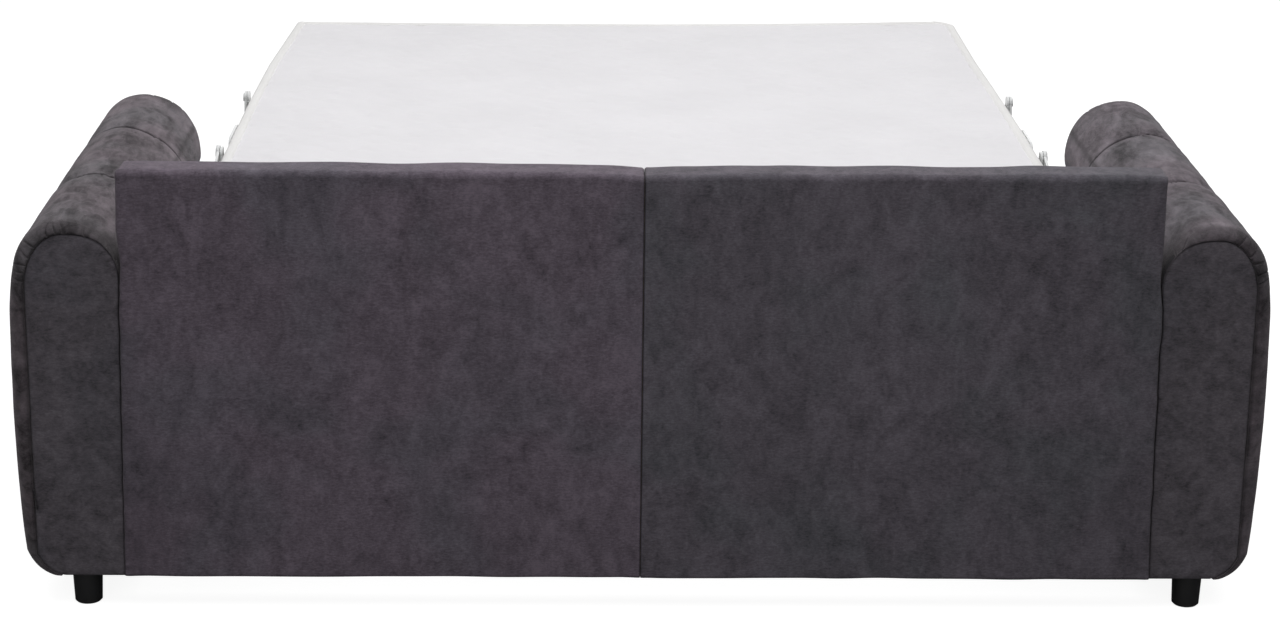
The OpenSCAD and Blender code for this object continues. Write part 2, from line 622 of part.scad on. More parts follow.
// Foot section
foot_plate_len = 150;
module foot_plate() color("slategray") side_slab(layer_a, plate_t) difference() {
    union() {
        disc_at(fold_axis, fold_pin_d + 2 * eye_rim);
        strip(fold_axis - [0, fold_pin_d / 2], [fold_axis[0] + plate_h, frame_z - plate_h / 2], plate_h);
        strip([fold_axis[0] + plate_h / 2, frame_z], [fold_axis[0] + foot_plate_len, frame_z], plate_h);
    }
    plate_holes([[fold_axis, fold_pin_d]]);
}
leg_frames = [[inner_leg_x, inner_leg_u], [outer_leg_x, outer_leg_u]];
lug_x = leg_eye_w / 2 + lug_gap;
lug_r = leg_d / 2 + leg_gap - cut;
module leg_lugs() color("slategray") bed() for (f = leg_frames) both_sides()
    for (x = [f[0] - lug_x - lug_t, f[0] + lug_x]) side_slab(x, lug_t) difference() {
        union() {
            disc_at([f[1], leg_pivot_z], 2 * lug_r);
            polygon([[f[1] - lug_r, leg_pivot_z], [f[1] + lug_r, leg_pivot_z],
                [f[1] + lug_r, frame_z - tube_h / 2], [f[1] - lug_r, frame_z - tube_h / 2]]);
        }
        plate_holes([[[f[1], leg_pivot_z], leg_pin_d]]);
    }
module leg_cross_tubes() color("slategray") bed() for (f = leg_frames) difference() {
    span_box([-mattress_w / 2 + tube_w, mattress_w / 2 - tube_w], [f[1] - tube_h / 2, f[1] + tube_h / 2],
        [frame_z - tube_h / 2, frame_z + tube_h / 2 - 2 * wire_d]);
    span_box([-mattress_w / 2 + tube_w - cut, mattress_w / 2 - tube_w + cut],
        [f[1] - tube_h / 2 + tube_wall, f[1] + tube_h / 2 - tube_wall],
        [frame_z - tube_h / 2 + tube_wall, frame_z + tube_h / 2 - 2 * wire_d - tube_wall]);
}
module leg_pins() color("silver") bed() for (f = leg_frames) both_sides() {
    outer = lug_x + lug_t;
    x_rod([f[1], leg_pivot_z], f[0] - outer, f[0] + outer, leg_pin_d);
    for (x = [f[0] - outer - pin_head_t, f[0] + outer])
        x_rod([f[1], leg_pivot_z], x, x + pin_head_t, leg_pin_d + pin_head_rim);
}

// Folding leg frames: two tubes with eyes at their pivots, joined by a crossbar
module leg_frame(half, u, bar_z) color("silver") bed() difference() {
    union() {
        both_sides() translate([half, -u, tip_h / 3]) cylinder(d = leg_d, h = leg_pivot_z - tip_h / 3);
        both_sides() x_rod([u, leg_pivot_z], half - leg_eye_w / 2, half + leg_eye_w / 2, leg_d);
        x_rod([u, bar_z], -half, half, leg_d - 2 * leg_gap);
    }
    both_sides() x_rod([u, leg_pivot_z], half - leg_d, half + leg_d, leg_pin_d + 2 * pin_play);
}
tip_wall = 1;
module leg_tips(half, u) color("black") bed() both_sides() translate([half, -u, 0]) difference() {
    cylinder(d = leg_d + 2 * tip_wall, h = tip_h);
    translate([0, 0, tip_h / 3]) cylinder(d = leg_d + 2 * pin_play, h = tip_h);
}

// Control link: a flat bar from the arm's plate to the back section, with one open eye
module control_link() color("silver") side_slab(layer_c, plate_t) difference() {
    union() {
        strip(link_root, link_pin, link_w * 0.8);
        disc_at(link_root, fold_pin_d + 2 * eye_rim);
        disc_at(link_pin, fold_pin_d + 2 * link_play + eye_rim);
    }
    plate_holes([[link_root, fold_pin_d]]);
    disc_at(link_pin, fold_pin_d + 2 * link_play);
}

echo(main_pivot = main_pivot, link_root = link_root, link_pin = link_pin);
echo(seat_hinge = seat_hinge, fold_axis = fold_axis, bed_end = bed_end);
echo(legs = [inner_leg_u, outer_leg_u, leg_pivot_z], folded_hinge_u = folded_hinge_u);

left_side() arm_frame();  // arm_frame_left
right_side() arm_frame();  // arm_frame_right
left_side() arm_padding();  // arm_padding_left
right_side() arm_padding();  // arm_padding_right
left_side() arm_lining();  // arm_lining_left
right_side() arm_lining();  // arm_lining_right
left_side() rear_facing();  // rear_facing_left
right_side() rear_facing();  // rear_facing_right
left_side() front_facing();  // front_facing_left
right_side() front_facing();  // front_facing_right
rear_panel_board();
rear_cover();  // rear_cover_left
mirror([1, 0, 0]) rear_cover();  // rear_cover_right
front_rail_board();
front_rail_cover();
left_side() sofa_foot(rear_foot_u);  // rear_foot_left
right_side() sofa_foot(rear_foot_u);  // rear_foot_right
left_side() sofa_foot(front_foot_u);  // front_foot_left
right_side() sofa_foot(front_foot_u);  // front_foot_right
foot_studs();
left_side() side_plate();  // side_plate_left
right_side() side_plate();  // side_plate_right
side_plate_bolts();
main_pivot_pins();
link_root_pins();
section_frame(seat_u[0], seat_u[1]);  // seat_frame
left_side() seat_plate();  // seat_plate_left
right_side() seat_plate();  // seat_plate_right
seat_hinge_pins();
mattress_part(head_gap, seat_hinge[0] - fold_gap);  // head_mattress
left_side() seat_cushion();  // seat_cushion_left
right_side() seat_cushion();  // seat_cushion_right
fascia_board();
fascia_cover();
section_frame(back_u[0], back_u[1]);  // back_frame
left_side() back_plate();  // back_plate_left
right_side() back_plate();  // back_plate_right
fold_pins();
link_back_pins();
mattress_part(seat_hinge[0] + fold_gap, fold_axis[0] - fold_gap);  // middle_mattress
left_side() back_cushion();  // back_cushion_left
right_side() back_cushion();  // back_cushion_right
section_frame(foot_u[0], foot_u[1]);  // foot_frame
leg_cross_tubes();
leg_lugs();
left_side() foot_plate();  // foot_plate_left
right_side() foot_plate();  // foot_plate_right
leg_pins();
mattress_part(fold_axis[0] + fold_gap, bed_end);  // foot_mattress
leg_frame(inner_leg_x, inner_leg_u, inner_bar_z);  // inner_leg_frame
leg_frame(outer_leg_x, outer_leg_u, outer_bar_z);  // outer_leg_frame
leg_tips(inner_leg_x, inner_leg_u);  // inner_leg_tips
leg_tips(outer_leg_x, outer_leg_u);  // outer_leg_tips
left_side() control_link();  // control_link_left
right_side() control_link();  // control_link_right
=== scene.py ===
import math

import bmesh
import bpy
import numpy as np
from mathutils import Matrix, Vector
from mathutils.bvhtree import BVHTree


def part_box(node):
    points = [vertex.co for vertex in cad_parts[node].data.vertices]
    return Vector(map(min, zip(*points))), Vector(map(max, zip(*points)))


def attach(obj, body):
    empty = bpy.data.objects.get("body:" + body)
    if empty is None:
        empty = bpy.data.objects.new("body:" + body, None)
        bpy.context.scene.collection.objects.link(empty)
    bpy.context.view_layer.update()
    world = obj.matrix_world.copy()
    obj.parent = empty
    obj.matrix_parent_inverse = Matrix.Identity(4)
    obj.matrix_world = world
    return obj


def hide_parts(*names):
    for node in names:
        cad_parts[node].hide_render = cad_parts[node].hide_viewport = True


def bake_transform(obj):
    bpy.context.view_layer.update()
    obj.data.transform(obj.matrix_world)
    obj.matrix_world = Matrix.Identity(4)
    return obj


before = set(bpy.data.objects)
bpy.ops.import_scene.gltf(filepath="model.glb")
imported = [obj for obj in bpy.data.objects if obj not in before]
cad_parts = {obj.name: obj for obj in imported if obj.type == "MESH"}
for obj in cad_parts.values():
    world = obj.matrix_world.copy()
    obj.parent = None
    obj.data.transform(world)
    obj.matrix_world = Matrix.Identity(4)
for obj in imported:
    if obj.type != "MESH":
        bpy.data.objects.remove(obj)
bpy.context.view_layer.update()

# View: the opened bed is seen from behind, from a little above the rear panel, through a long lens.
# The camera's place and turn come from the corners of the panel, the arms and the mattress.
photo_width = 1280
focal_pixels = 2933.1
film_width = 36.0
eye = Vector((0.1113, 5.7512, 1.9316))
pitch = 0.2963
yaw = 0.0230
roll = 0.0122
view_forward = Vector(
    (-math.sin(yaw) * math.cos(pitch), -math.cos(yaw) * math.cos(pitch), -math.sin(pitch))
)
level_right = Vector((-math.cos(yaw), math.sin(yaw), 0))
level_up = level_right.cross(view_forward)
view_right = math.cos(roll) * level_right + math.sin(roll) * level_up
view_up = math.cos(roll) * level_up - math.sin(roll) * level_right
camera_data = bpy.data.cameras.new("view")
camera_data.sensor_width = film_width
camera_data.lens = focal_pixels * film_width / photo_width
camera = bpy.data.objects.new("view", camera_data)
turn = Matrix((view_right, view_up, -view_forward)).transposed()
camera.matrix_world = Matrix.Translation(eye) @ turn.to_4x4()
bpy.context.collection.objects.link(camera)
bpy.context.scene.camera = camera
bpy.context.scene.view_settings.view_transform = "Standard"

# Studio: a wide soft lamp overhead gives the light tops and darker faces, and weak lamps fill the
# shadows. Floor and backdrop are white to the camera and pale grey to the object.
overhead_size = 5.5
overhead_height = 3.6
overhead_watts = 108
fill_size = 4.0
fill_watts = 44
backdrop_glow = 0.3
floor_half = 40.0
floor_lift = 0.9
floor_white = 0.35
floor_grey = 0.08
white = (1, 1, 1, 1)


def soft_lamp(name, size, watts, place, target):
    """A square lamp that faces a target."""
    lamp = bpy.data.lights.new(name, "AREA")
    lamp.shape = "SQUARE"
    lamp.size = size
    lamp.energy = watts
    holder = bpy.data.objects.new(name, lamp)
    holder.location = place
    aim = Vector(target) - Vector(place)
    holder.rotation_euler = aim.to_track_quat("-Z", "Y").to_euler()
    bpy.context.collection.objects.link(holder)


soft_lamp("overhead", overhead_size, overhead_watts, (0, 0.2, overhead_height), (0, 0, 0))
soft_lamp("fill_rear", fill_size, fill_watts, (0.5, 5.5, 2.4), (0, 0, 0.4))
soft_lamp("fill_front", fill_size, fill_watts, (-1.5, -5.5, 2.6), (0, 0, 0.4))


def emptied_tree(owner):
    """The node tree of a new world or material, without the nodes it starts with."""
    owner.use_nodes = True
    owner.node_tree.nodes.clear()
    return owner.node_tree


def add_node(tree, kind, inputs=None, **settings):
    """A new node's outputs. Its inputs are plain values or the outputs of other nodes."""
    made = tree.nodes.new(kind)
    for key, value in settings.items():
        setattr(made, key, value)
    for key, source in (inputs or {}).items():
        if isinstance(source, bpy.types.NodeSocket):
            tree.links.new(source, made.inputs[key])
        else:
            made.inputs[key].default_value = source
    return made.outputs


def calculate(tree, operation, first, second=0.0):
    """A Math node on two outputs or plain values."""
    return add_node(tree, "ShaderNodeMath", {0: first, 1: second}, operation=operation)[0]


world = bpy.data.worlds.new("studio")
world_tree = emptied_tree(world)
ray = add_node(world_tree, "ShaderNodeLightPath")
seen_or_mirrored = calculate(world_tree, "MAXIMUM", ray["Is Camera Ray"], ray["Is Glossy Ray"])
shown = calculate(world_tree, "MAXIMUM", seen_or_mirrored, ray["Is Transmission Ray"])
ambient, backdrop = (
    add_node(world_tree, "ShaderNodeBackground", {"Color": white, "Strength": strength})[0]
    for strength in (backdrop_glow, 1.0)
)
world_mix = add_node(world_tree, "ShaderNodeMixShader", {0: shown, 1: ambient, 2: backdrop})[0]
add_node(world_tree, "ShaderNodeOutputWorld", {0: world_mix})
bpy.context.scene.world = world

floor_mesh = bpy.data.meshes.new("studio_floor")
corners = ((-1, -1), (1, -1), (1, 1), (-1, 1))
floor_points = [(x * floor_half, y * floor_half, 0) for x, y in corners]
floor_mesh.from_pydata(floor_points, [], [(0, 1, 2, 3)])
floor = bpy.data.objects.new("studio_floor", floor_mesh)
bpy.context.collection.objects.link(floor)
floor_paint = bpy.data.materials.new("studio_floor")
floor_tree = emptied_tree(floor_paint)
floor_lit, floor_bounce = (
    add_node(floor_tree, "ShaderNodeBsdfDiffuse", {"Color": (level, level, level, 1)})[0]
    for level in (floor_white, floor_grey)
)
floor_glow = add_node(floor_tree, "ShaderNodeEmission", {"Color": white, "Strength": floor_lift})[0]
floor_seen = add_node(floor_tree, "ShaderNodeAddShader", {0: floor_lit, 1: floor_glow})[0]
floor_ray = add_node(floor_tree, "ShaderNodeLightPath")["Is Camera Ray"]
floor_parts = {0: floor_ray, 1: floor_bounce, 2: floor_seen}
floor_mix = add_node(floor_tree, "ShaderNodeMixShader", floor_parts)[0]
add_node(floor_tree, "ShaderNodeOutputMaterial", {0: floor_mix})
floor_mesh.materials.append(floor_paint)

# Rear panel cover: two halves of suede-like microfibre over thin wadding, sewn together down the
# middle, rolled over the top edge of the board and pulled in tight where they meet the arms.
cover_low, cover_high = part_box("rear_cover_left")
board_low, board_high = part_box("rear_panel_board")
cover_step = 0.006
cover_roll_step = 0.0015
cover_roll_reach = 0.02
half_seam = 0.0003
seam_step = 0.0009
seam_step_reach = 0.018
panel_top_radius = 0.011
panel_foot_radius = 0.006
panel_seam_radius = 0.005
panel_end_radius = 0.006
panel_wave = 0.0011
wave_fade = 0.03
pucker_pitch = 0.021
pucker_height = {"seam": 0.0005, "end": 0.0009}
pucker_reach = {"seam": 0.007, "end": 0.01}
# Widths of the painted shade down the centre seam and along each end
seam_line_width = 0.0016
end_line_width = 0.0014
panel_dip_depth = 0.0034
panel_dip_reach = 0.036
panel_slope = 0.0012
dip_wave = 0.0007
board_gap = 0.0003
stitch_pitch = 0.0064
stitch_reach = 0.0045
stitch_width = 0.0010
stitch_start = 0.074
stitch_slant = 0.15
stitch_rise = 0.0002
# The seam between the panel and each arm's facing strays from its plane with the height
gap_levels = (0.06, 0.2, 0.34, 0.465, 0.53, 0.57, 0.60, 0.63, 0.66, 0.74)
gap_strays = {
    1: (0.0121, 0.0103, 0.0076, 0.0051, 0.0042, 0.0014, 0.0004, 0.0018, 0.0046, 0.0028),
    -1: (0.0082, 0.0055, 0.0036, 0.0020, 0.0034, -0.0030, -0.0036, -0.0030, -0.0022, -0.0026),
}
gap_wave = 0.0006
gap_stray_depth = 0.015
gap_stray_fade = 0.006
gap_stray_reach = 0.02
gap_closing = 0.0011
# Painted shade at each end beside the arm, all the way up and low down, with how far it reaches
end_shades = {1: (0.24, 0.14), -1: (0.1, 0.07)}
end_shade_reach = 0.035
low_shade_reach = 0.17
low_shade_level = 0.36
low_shade_fade = 0.1
low_share = 0.1


def points_from(*parts):
    """Points in rows, from coordinates that are numbers or arrays of fitting shapes."""
    return np.stack(np.broadcast_arrays(*parts), -1)


def near(distance, reach, power=2):
    """1 at no distance, falling off over a reach, the more steeply the higher the power."""
    return np.exp(-((distance / reach) ** power))


def ramp(distance, reach):
    """0 at no distance, rising evenly to 1 over a reach."""
    return np.clip(distance / reach, 0, 1)


def unit(vectors):
    """Vectors of the same directions and a length of 1."""
    return vectors / np.linalg.norm(vectors, axis=1)[:, None]


def circle(count):
    """Angles of places spread evenly round a circle."""
    return np.linspace(0, 2 * np.pi, count, endpoint=False)


def soft_waves(points, length, seed, stretch=(1, 1, 1), count=18):
    """Smooth random heights, about -1 to 1, from a sum of sine waves in seeded directions."""
    draw = np.random.default_rng(seed)
    width = points.shape[-1]
    direction = unit(draw.normal(size=(count, width)))
    wave = 2 * np.pi / (length * draw.uniform(0.6, 1.7, (count, 1)))
    phase = draw.uniform(0, 2 * np.pi, count)
    scaled = points / np.array(stretch[:width])
    return np.sin(scaled @ (direction * wave).T + phase).sum(-1) / math.sqrt(count)


def creases(points, length, seed, stretch=(1, 1, 1), width=0.3):
    """Narrow valleys, 0 to 1, along wandering lines that come and go, like folds in loose cloth."""
    line = soft_waves(points, length, seed, stretch)
    present = soft_waves(points, length * 2.2, seed + 1, stretch)
    return near(line, width) * np.clip(present, 0, 1)


def spaced(start, end, step, fine_step, fine_reach):
    """Places from start to end, close together within a reach of both ends."""
    reach = min(fine_reach, (end - start) / 3)
    fine = np.linspace(0, 1, max(3, round(reach / fine_step)) + 1) ** 1.4 * reach
    steps = max(2, round((end - start - 2 * reach) / step))
    middle = np.linspace(start + reach, end - reach, steps + 1)
    return np.concatenate([start + fine[:-1], middle, end - fine[-2::-1]])


def arc(centre, radius, start, end, steps):
    """Part of an ellipse, from one angle in degrees to another."""
    angle = np.radians(np.linspace(start, end, steps))
    return points_from(centre[0] + radius[0] * np.cos(angle), centre[1] + radius[1] * np.sin(angle))


def joined(*runs):
    """One line from several runs, without the points that two runs share."""
    line = [runs[0]]
    for run in runs[1:]:
        same = np.allclose(run[0], line[-1][-1], atol=1e-6)
        line.append(run[1:] if same else run)
    return np.concatenate(line)


def outward(line):
    """Unit normals of a line in a plane, to the left as it runs."""
    along = unit(np.gradient(line, axis=0))
    return points_from(-along[:, 1], along[:, 0])


def grid_faces(rows, columns, closed=False, first=0):
    """Quads between neighbouring rows of points, joined round where the rows are closed."""
    row = np.arange(rows - 1)[:, None]
    column = np.arange(columns if closed else columns - 1)[None, :]
    after = (column + 1) % columns
    corners = [row * columns + column, (row + 1) * columns + column]
    corners += [(row + 1) * columns + after, row * columns + after]
    return (points_from(*corners).reshape(-1, 4) + first).tolist()


def tube_faces(rows, columns):
    """Faces round closed rows of points, with a cap at each end."""
    last = (rows - 1) * columns
    caps = [list(range(columns))[::-1], list(range(last, last + columns))]
    return grid_faces(rows, columns, True) + caps


def shifted(faces, count):
    """Faces whose points come after others."""
    return [[corner + count for corner in face] for face in faces]


def object_from(name, points, faces, materials, face_slots=None, sharp=40, weld=0.0):
    """A mesh object from points and faces, smooth but for edges sharper than an angle."""
    mesh = bpy.data.meshes.new(name)
    mesh.from_pydata(np.asarray(points, float).reshape(-1, 3).tolist(), [], faces)
    for material in materials:
        mesh.materials.append(material)
    if face_slots is not None:
        mesh.polygons.foreach_set("material_index", np.asarray(face_slots, np.int32))
    tidy = bmesh.new()
    tidy.from_mesh(mesh)
    if weld:
        bmesh.ops.remove_doubles(tidy, verts=tidy.verts, dist=weld)
    bmesh.ops.recalc_face_normals(tidy, faces=tidy.faces)
    tidy.to_mesh(mesh)
    tidy.free()
    mesh.polygons.foreach_set("use_smooth", np.ones(len(mesh.polygons), bool))
    mesh.set_sharp_from_angle(angle=math.radians(sharp))
    mesh.update()
    made = bpy.data.objects.new(name, mesh)
    bpy.context.collection.objects.link(made)
    return made


def shell(name, outer, inner, materials, sharp=50, capped=False):
    """A padded skin between two grids of points, closed along its edges or capped at its end."""
    rows, columns = outer.shape[:2]
    count = rows * columns
    index = np.arange(count).reshape(rows, columns)
    faces = grid_faces(rows, columns)
    faces += [face[::-1] for face in grid_faces(rows, columns, first=count)]
    edges = [index[0], index[::-1, 0], index[:, -1]]
    if capped:
        last = index[-1].tolist()
        faces += [last, [corner + count for corner in last[::-1]]]
        faces.append([last[0], last[-1], last[-1] + count, last[0] + count])
    else:
        edges.append(index[-1][::-1])
    for edge in edges:
        faces += points_from(edge[:-1], edge[1:], edge[1:] + count, edge[:-1] + count).tolist()
    points = np.concatenate([outer.reshape(-1, 3), inner.reshape(-1, 3)])
    return object_from(name, points, faces, materials, None, sharp)


def mark_painted_shade(piece, painted_shade):
    """Stores the painted shade of seams, tucks and shadows on a mesh's first points."""
    depth = np.zeros(len(piece.data.vertices))
    depth[: painted_shade.size] = np.clip(painted_shade, 0, 1).reshape(-1)
    piece.data.attributes.new("painted_shade", "FLOAT", "POINT").data.foreach_set("value", depth)


def flat_tube(path, width, height, sides):
    """Points and faces of a flat-oval tube along a level path of points, with its ends closed."""
    along = unit(np.gradient(path, axis=0))
    sideways = points_from(along[:, 1], -along[:, 0], 0)
    angle = circle(sides)[None, :, None]
    ring = sideways[:, None] * width / 2 * np.cos(angle)
    ring = ring + np.array([0, 0, 1]) * height / 2 * np.sin(angle)
    return (path[:, None] + ring).reshape(-1, 3), tube_faces(len(path), sides)


def new_group(name, inputs):
    """A shader node group that gives a colour, a roughness and a height, and its inputs."""
    group = bpy.data.node_groups.new(name, "ShaderNodeTree")
    kinds = {4: "NodeSocketColor", 3: "NodeSocketVector", 1: "NodeSocketFloat"}
    for label, value in inputs.items():
        kind = kinds[np.size(value)]
        group.interface.new_socket(label, in_out="INPUT", socket_type=kind).default_value = value
    for label, count in (("Color", 4), ("Roughness", 1), ("Height", 1)):
        group.interface.new_socket(label, in_out="OUTPUT", socket_type=kinds[count])
    return group, add_node(group, "NodeGroupInput")


def close_group(group, colour, roughness, height):
    """Gives a group its three outputs."""
    add_node(group, "NodeGroupOutput", {"Color": colour, "Roughness": roughness, "Height": height})


def scaled_by(tree, place, scale):
    """Coordinates times a scale along each axis."""
    return add_node(tree, "ShaderNodeVectorMath", {0: place, 1: scale}, operation="MULTIPLY")[0]


def noise(tree, place, scale, detail=3.0, roughness=0.55, distortion=0.0):
    """Noise at a scale, from 0 to 1."""
    look = {"Scale": scale, "Detail": detail, "Roughness": roughness, "Distortion": distortion}
    return add_node(tree, "ShaderNodeTexNoise", {"Vector": place, **look})["Fac"]


def remap(tree, value, low, high, to_low=0.0, to_high=1.0):
    """A value taken from one range to another."""
    ends = {"From Min": low, "From Max": high, "To Min": to_low, "To Max": to_high}
    return add_node(tree, "ShaderNodeMapRange", {"Value": value, **ends})["Result"]


def mix_colour(tree, factor, first, second, blend="MIX"):
    """Two colours mixed by a factor."""
    parts = {0: factor, 6: first, 7: second}
    return add_node(tree, "ShaderNodeMix", parts, data_type="RGBA", blend_type=blend)[2]


# Brushed suede nap: broad warm and cool patches, smudges and strokes where the nap lies the other
# way, a fine grain, and painted shade that darkens the cloth in seams, tucks and shadowed places.
nap, nap_in = new_group(
    "suede_nap",
    {
        "Warm": (0.1, 0.1, 0.1, 1),
        "Cool": (0.1, 0.1, 0.1, 1),
        "Painted Shade": 0.0,
        "Stretch": (1, 1, 1),
        "Smudges": 0.5,
        "Strokes": 0.5,
        "Grain": 0.5,
    },
)
nap_place = add_node(nap, "ShaderNodeTexCoord")["Object"]
nap_stretched = scaled_by(nap, nap_place, nap_in["Stretch"])
patches = noise(nap, nap_place, 4.5, 3.0, 0.5, 0.35)
smudges = noise(nap, nap_stretched, 13.0, 4.0, 0.55, 0.9)
strokes = noise(nap, nap_stretched, 46.0, 4.0, 0.65, 0.5)
grain = noise(nap, scaled_by(nap, nap_place, (0.4, 1.0, 1.0)), 330.0, 3.0, 0.8)
pile = noise(nap, nap_place, 1700.0, 1.0, 0.5)
tone = 1.0
for layer, weight in ((smudges, "Smudges"), (strokes, "Strokes"), (grain, "Grain")):
    part = calculate(nap, "MULTIPLY", calculate(nap, "SUBTRACT", layer, 0.5), nap_in[weight])
    tone = calculate(nap, "ADD", tone, part)
# Painted shade: the stored mark darkens the cloth down to 0.22 of its tone
painted_shade_factor = remap(nap, nap_in["Painted Shade"], 0.0, 1.0, 1.0, 0.22)
brightness = calculate(nap, "MULTIPLY", calculate(nap, "MAXIMUM", tone, 0.3), painted_shade_factor)
base_tone = mix_colour(nap, remap(nap, patches, 0.36, 0.52), nap_in["Cool"], nap_in["Warm"])
close_group(
    nap,
    mix_colour(nap, 1.0, base_tone, brightness, "MULTIPLY"),
    remap(nap, strokes, 0.3, 0.7, 0.98, 0.82),
    calculate(nap, "ADD", grain, pile),
)


def new_finish(name, **settings):
    """A material with its node tree and its Principled shader, with settings on its sockets."""
    material = bpy.data.materials.new(name)
    material.use_nodes = True
    shader = material.node_tree.nodes["Principled BSDF"]
    for key, value in settings.items():
        shader.inputs[key.replace("_", " ")].default_value = value
    return material, material.node_tree, shader


def raise_bump(tree, shader, height, distance, strength=1.0):
    """Gives a shader a bump from a height."""
    inputs = {"Height": height, "Distance": distance, "Strength": strength}
    tree.links.new(add_node(tree, "ShaderNodeBump", inputs)["Normal"], shader.inputs["Normal"])


def finish_from(tree, shader, group, inputs, depth, strength=1.0):
    """Takes a shader's colour, roughness and bump from a node group."""
    made = add_node(tree, "ShaderNodeGroup", inputs, node_tree=group)
    tree.links.new(made["Color"], shader.inputs["Base Color"])
    tree.links.new(made["Roughness"], shader.inputs["Roughness"])
    raise_bump(tree, shader, made["Height"], depth, strength)


def suede(name, warm, cool, stretch=(1, 1, 1), smudged=0.75, stroked=0.6, grained=0.5):
    """Dark brushed microfibre with a soft sheen along its nap."""
    material, tree, shader = new_finish(
        name,
        Specular_IOR_Level=0.15,
        Sheen_Weight=0.12,
        Sheen_Roughness=0.5,
        Sheen_Tint=(0.95, 0.9, 0.93, 1),
    )
    inputs = {
        "Warm": (*warm, 1),
        "Cool": (*cool, 1),
        # The painted shade that each piece stores on its points
        "Painted Shade": add_node(tree, "ShaderNodeAttribute", attribute_name="painted_shade")["Fac"],
        "Stretch": stretch,
        "Smudges": smudged,
        "Strokes": stroked,
        "Grain": grained,
    }
    finish_from(tree, shader, nap, inputs, 0.0006, 0.5)
    return material


panel_nap = {"stretch": (1.5, 1.5, 1), "smudged": 1.05, "stroked": 0.85, "grained": 1.5}
panel_warm = suede("suede_panel_left", (0.137, 0.113, 0.14), (0.122, 0.108, 0.131), **panel_nap)
# A darker copy of the same suede, painted shade for the less lit right half; linings, rail and
# right cushions use it too
panel_shaded = suede("suede_panel_shaded", (0.114, 0.102, 0.121), (0.102, 0.098, 0.113), **panel_nap)


def rolled_in(distance, radius):
    """How far a surface lies below its flat level at a distance from a rolled edge."""
    share = np.clip(1 - distance / radius, 0, 1)
    return radius * (1 - np.sqrt(1 - share**2))


def dress(piece, nodes, body):
    """Puts a piece on its body, where it has one, and in place of CAD nodes where it has any."""
    if nodes:
        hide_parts(*nodes)
    if body:
        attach(piece, body)


def on_board(line, low, high, ceiling):
    """The inner line of a cover in y and z, where its outer line comes to lie on a board."""
    y = np.clip(line[:, 0], low.y - board_gap, high.y + board_gap)
    return points_from(y, np.minimum(line[:, 1], ceiling))


def panel_line():
    """The outer line of the cover in y and z: up the rear, over the top, down the bed side."""
    rear, front = cover_high.y, cover_low.y
    top, foot = cover_high.z, cover_low.z
    rise, turn_in = panel_top_radius, panel_foot_radius
    walls = spaced(foot + turn_in, top - rise, cover_step, cover_roll_step, cover_roll_reach)
    return joined(
        arc((rear - turn_in, foot + turn_in), (turn_in, turn_in), -90, 0, 6),
        points_from(rear, walls),
        arc((rear - rise, top - rise), (rise, rise), 0, 90, 9),
        points_from(np.linspace(rear - rise, front + rise, 9), top),
        arc((front + rise, top - rise), (rise, rise), 90, 180, 9),
        points_from(front, walls[::-1]),
        arc((front + turn_in, foot + turn_in), (turn_in, turn_in), 180, 270, 6),
    )


def gap_stray(side, z):
    """How far outward the end of the panel lies off its plane at a height."""
    wave = gap_wave * soft_waves(z[..., None], 0.09, 78 + side)
    return np.interp(z, gap_levels, gap_strays[side]) + wave


def panel_half(name, side, node, finish, seed):
    """One half of the cover, from the centre seam to the arm."""
    line = panel_line()
    inner_line = on_board(line, board_low, board_high, board_high.z - panel_dip_depth)
    normal = -outward(line)
    x = spaced(half_seam, cover_high.x, cover_step, seam_step, seam_step_reach)[:, None]
    y, z = line.T
    from_end = cover_high.x - x
    spot = points_from(side * x, y, z)
    height = (z - cover_low.z) / (cover_high.z - cover_low.z)
    inset = rolled_in(x, panel_seam_radius) * (0.25 + 0.75 * np.clip(height, 0, 1))
    inset += rolled_in(from_end, panel_end_radius) * np.clip(height / low_share, 0.2, 1)
    wave = soft_waves(spot, 0.38, seed) + 0.45 * soft_waves(spot, 0.11, seed + 3)
    inset -= panel_wave * wave * ramp(np.minimum(x, from_end), wave_fade)
    drift = 1.6 * soft_waves(spot[..., 2:], 0.1, seed + 5)
    pucker = np.sin(2 * np.pi * z / pucker_pitch + drift)
    for where, distance in (("seam", x), ("end", from_end)):
        inset += pucker_height[where] * pucker * near(distance, pucker_reach[where], 1)
    dip = panel_slope * (1 - x / cover_high.x) + panel_dip_depth * near(x, panel_dip_reach)
    dip = np.clip(dip + dip_wave * soft_waves(spot[..., :1], 0.3, seed + 7), 0, None)
    drop = dip * np.clip(height * 2 - 1, 0, 1)
    at_rear = ramp(y - cover_high.y + gap_stray_depth, gap_stray_fade)
    stray = (gap_stray(side, z) + gap_closing) * at_rear * near(from_end, gap_stray_reach, 1)
    sunk_y, sunk_z = y - normal[:, 0] * inset, z - normal[:, 1] * inset
    outer = points_from(side * (x + stray), sunk_y, sunk_z - drop)
    inner = points_from(side * x * (board_high.x + board_gap) / cover_high.x, *inner_line.T)
    piece = shell(name, outer, inner, [finish], capped=True)
    # Painted shade: darker towards each end beside the arm and lower down there, and down the seams
    shade, low_shade = end_shades[side]
    low_down = ramp(low_shade_level - z, low_shade_fade)
    shaded = shade * near(from_end, end_shade_reach, 1)
    shaded = shaded + low_shade * low_down * near(from_end, low_shade_reach)
    sewn = near(x, seam_line_width) + 0.8 * near(from_end, end_line_width)
    mark_painted_shade(piece, np.maximum(sewn, shaded))
    dress(piece, [node], "root")


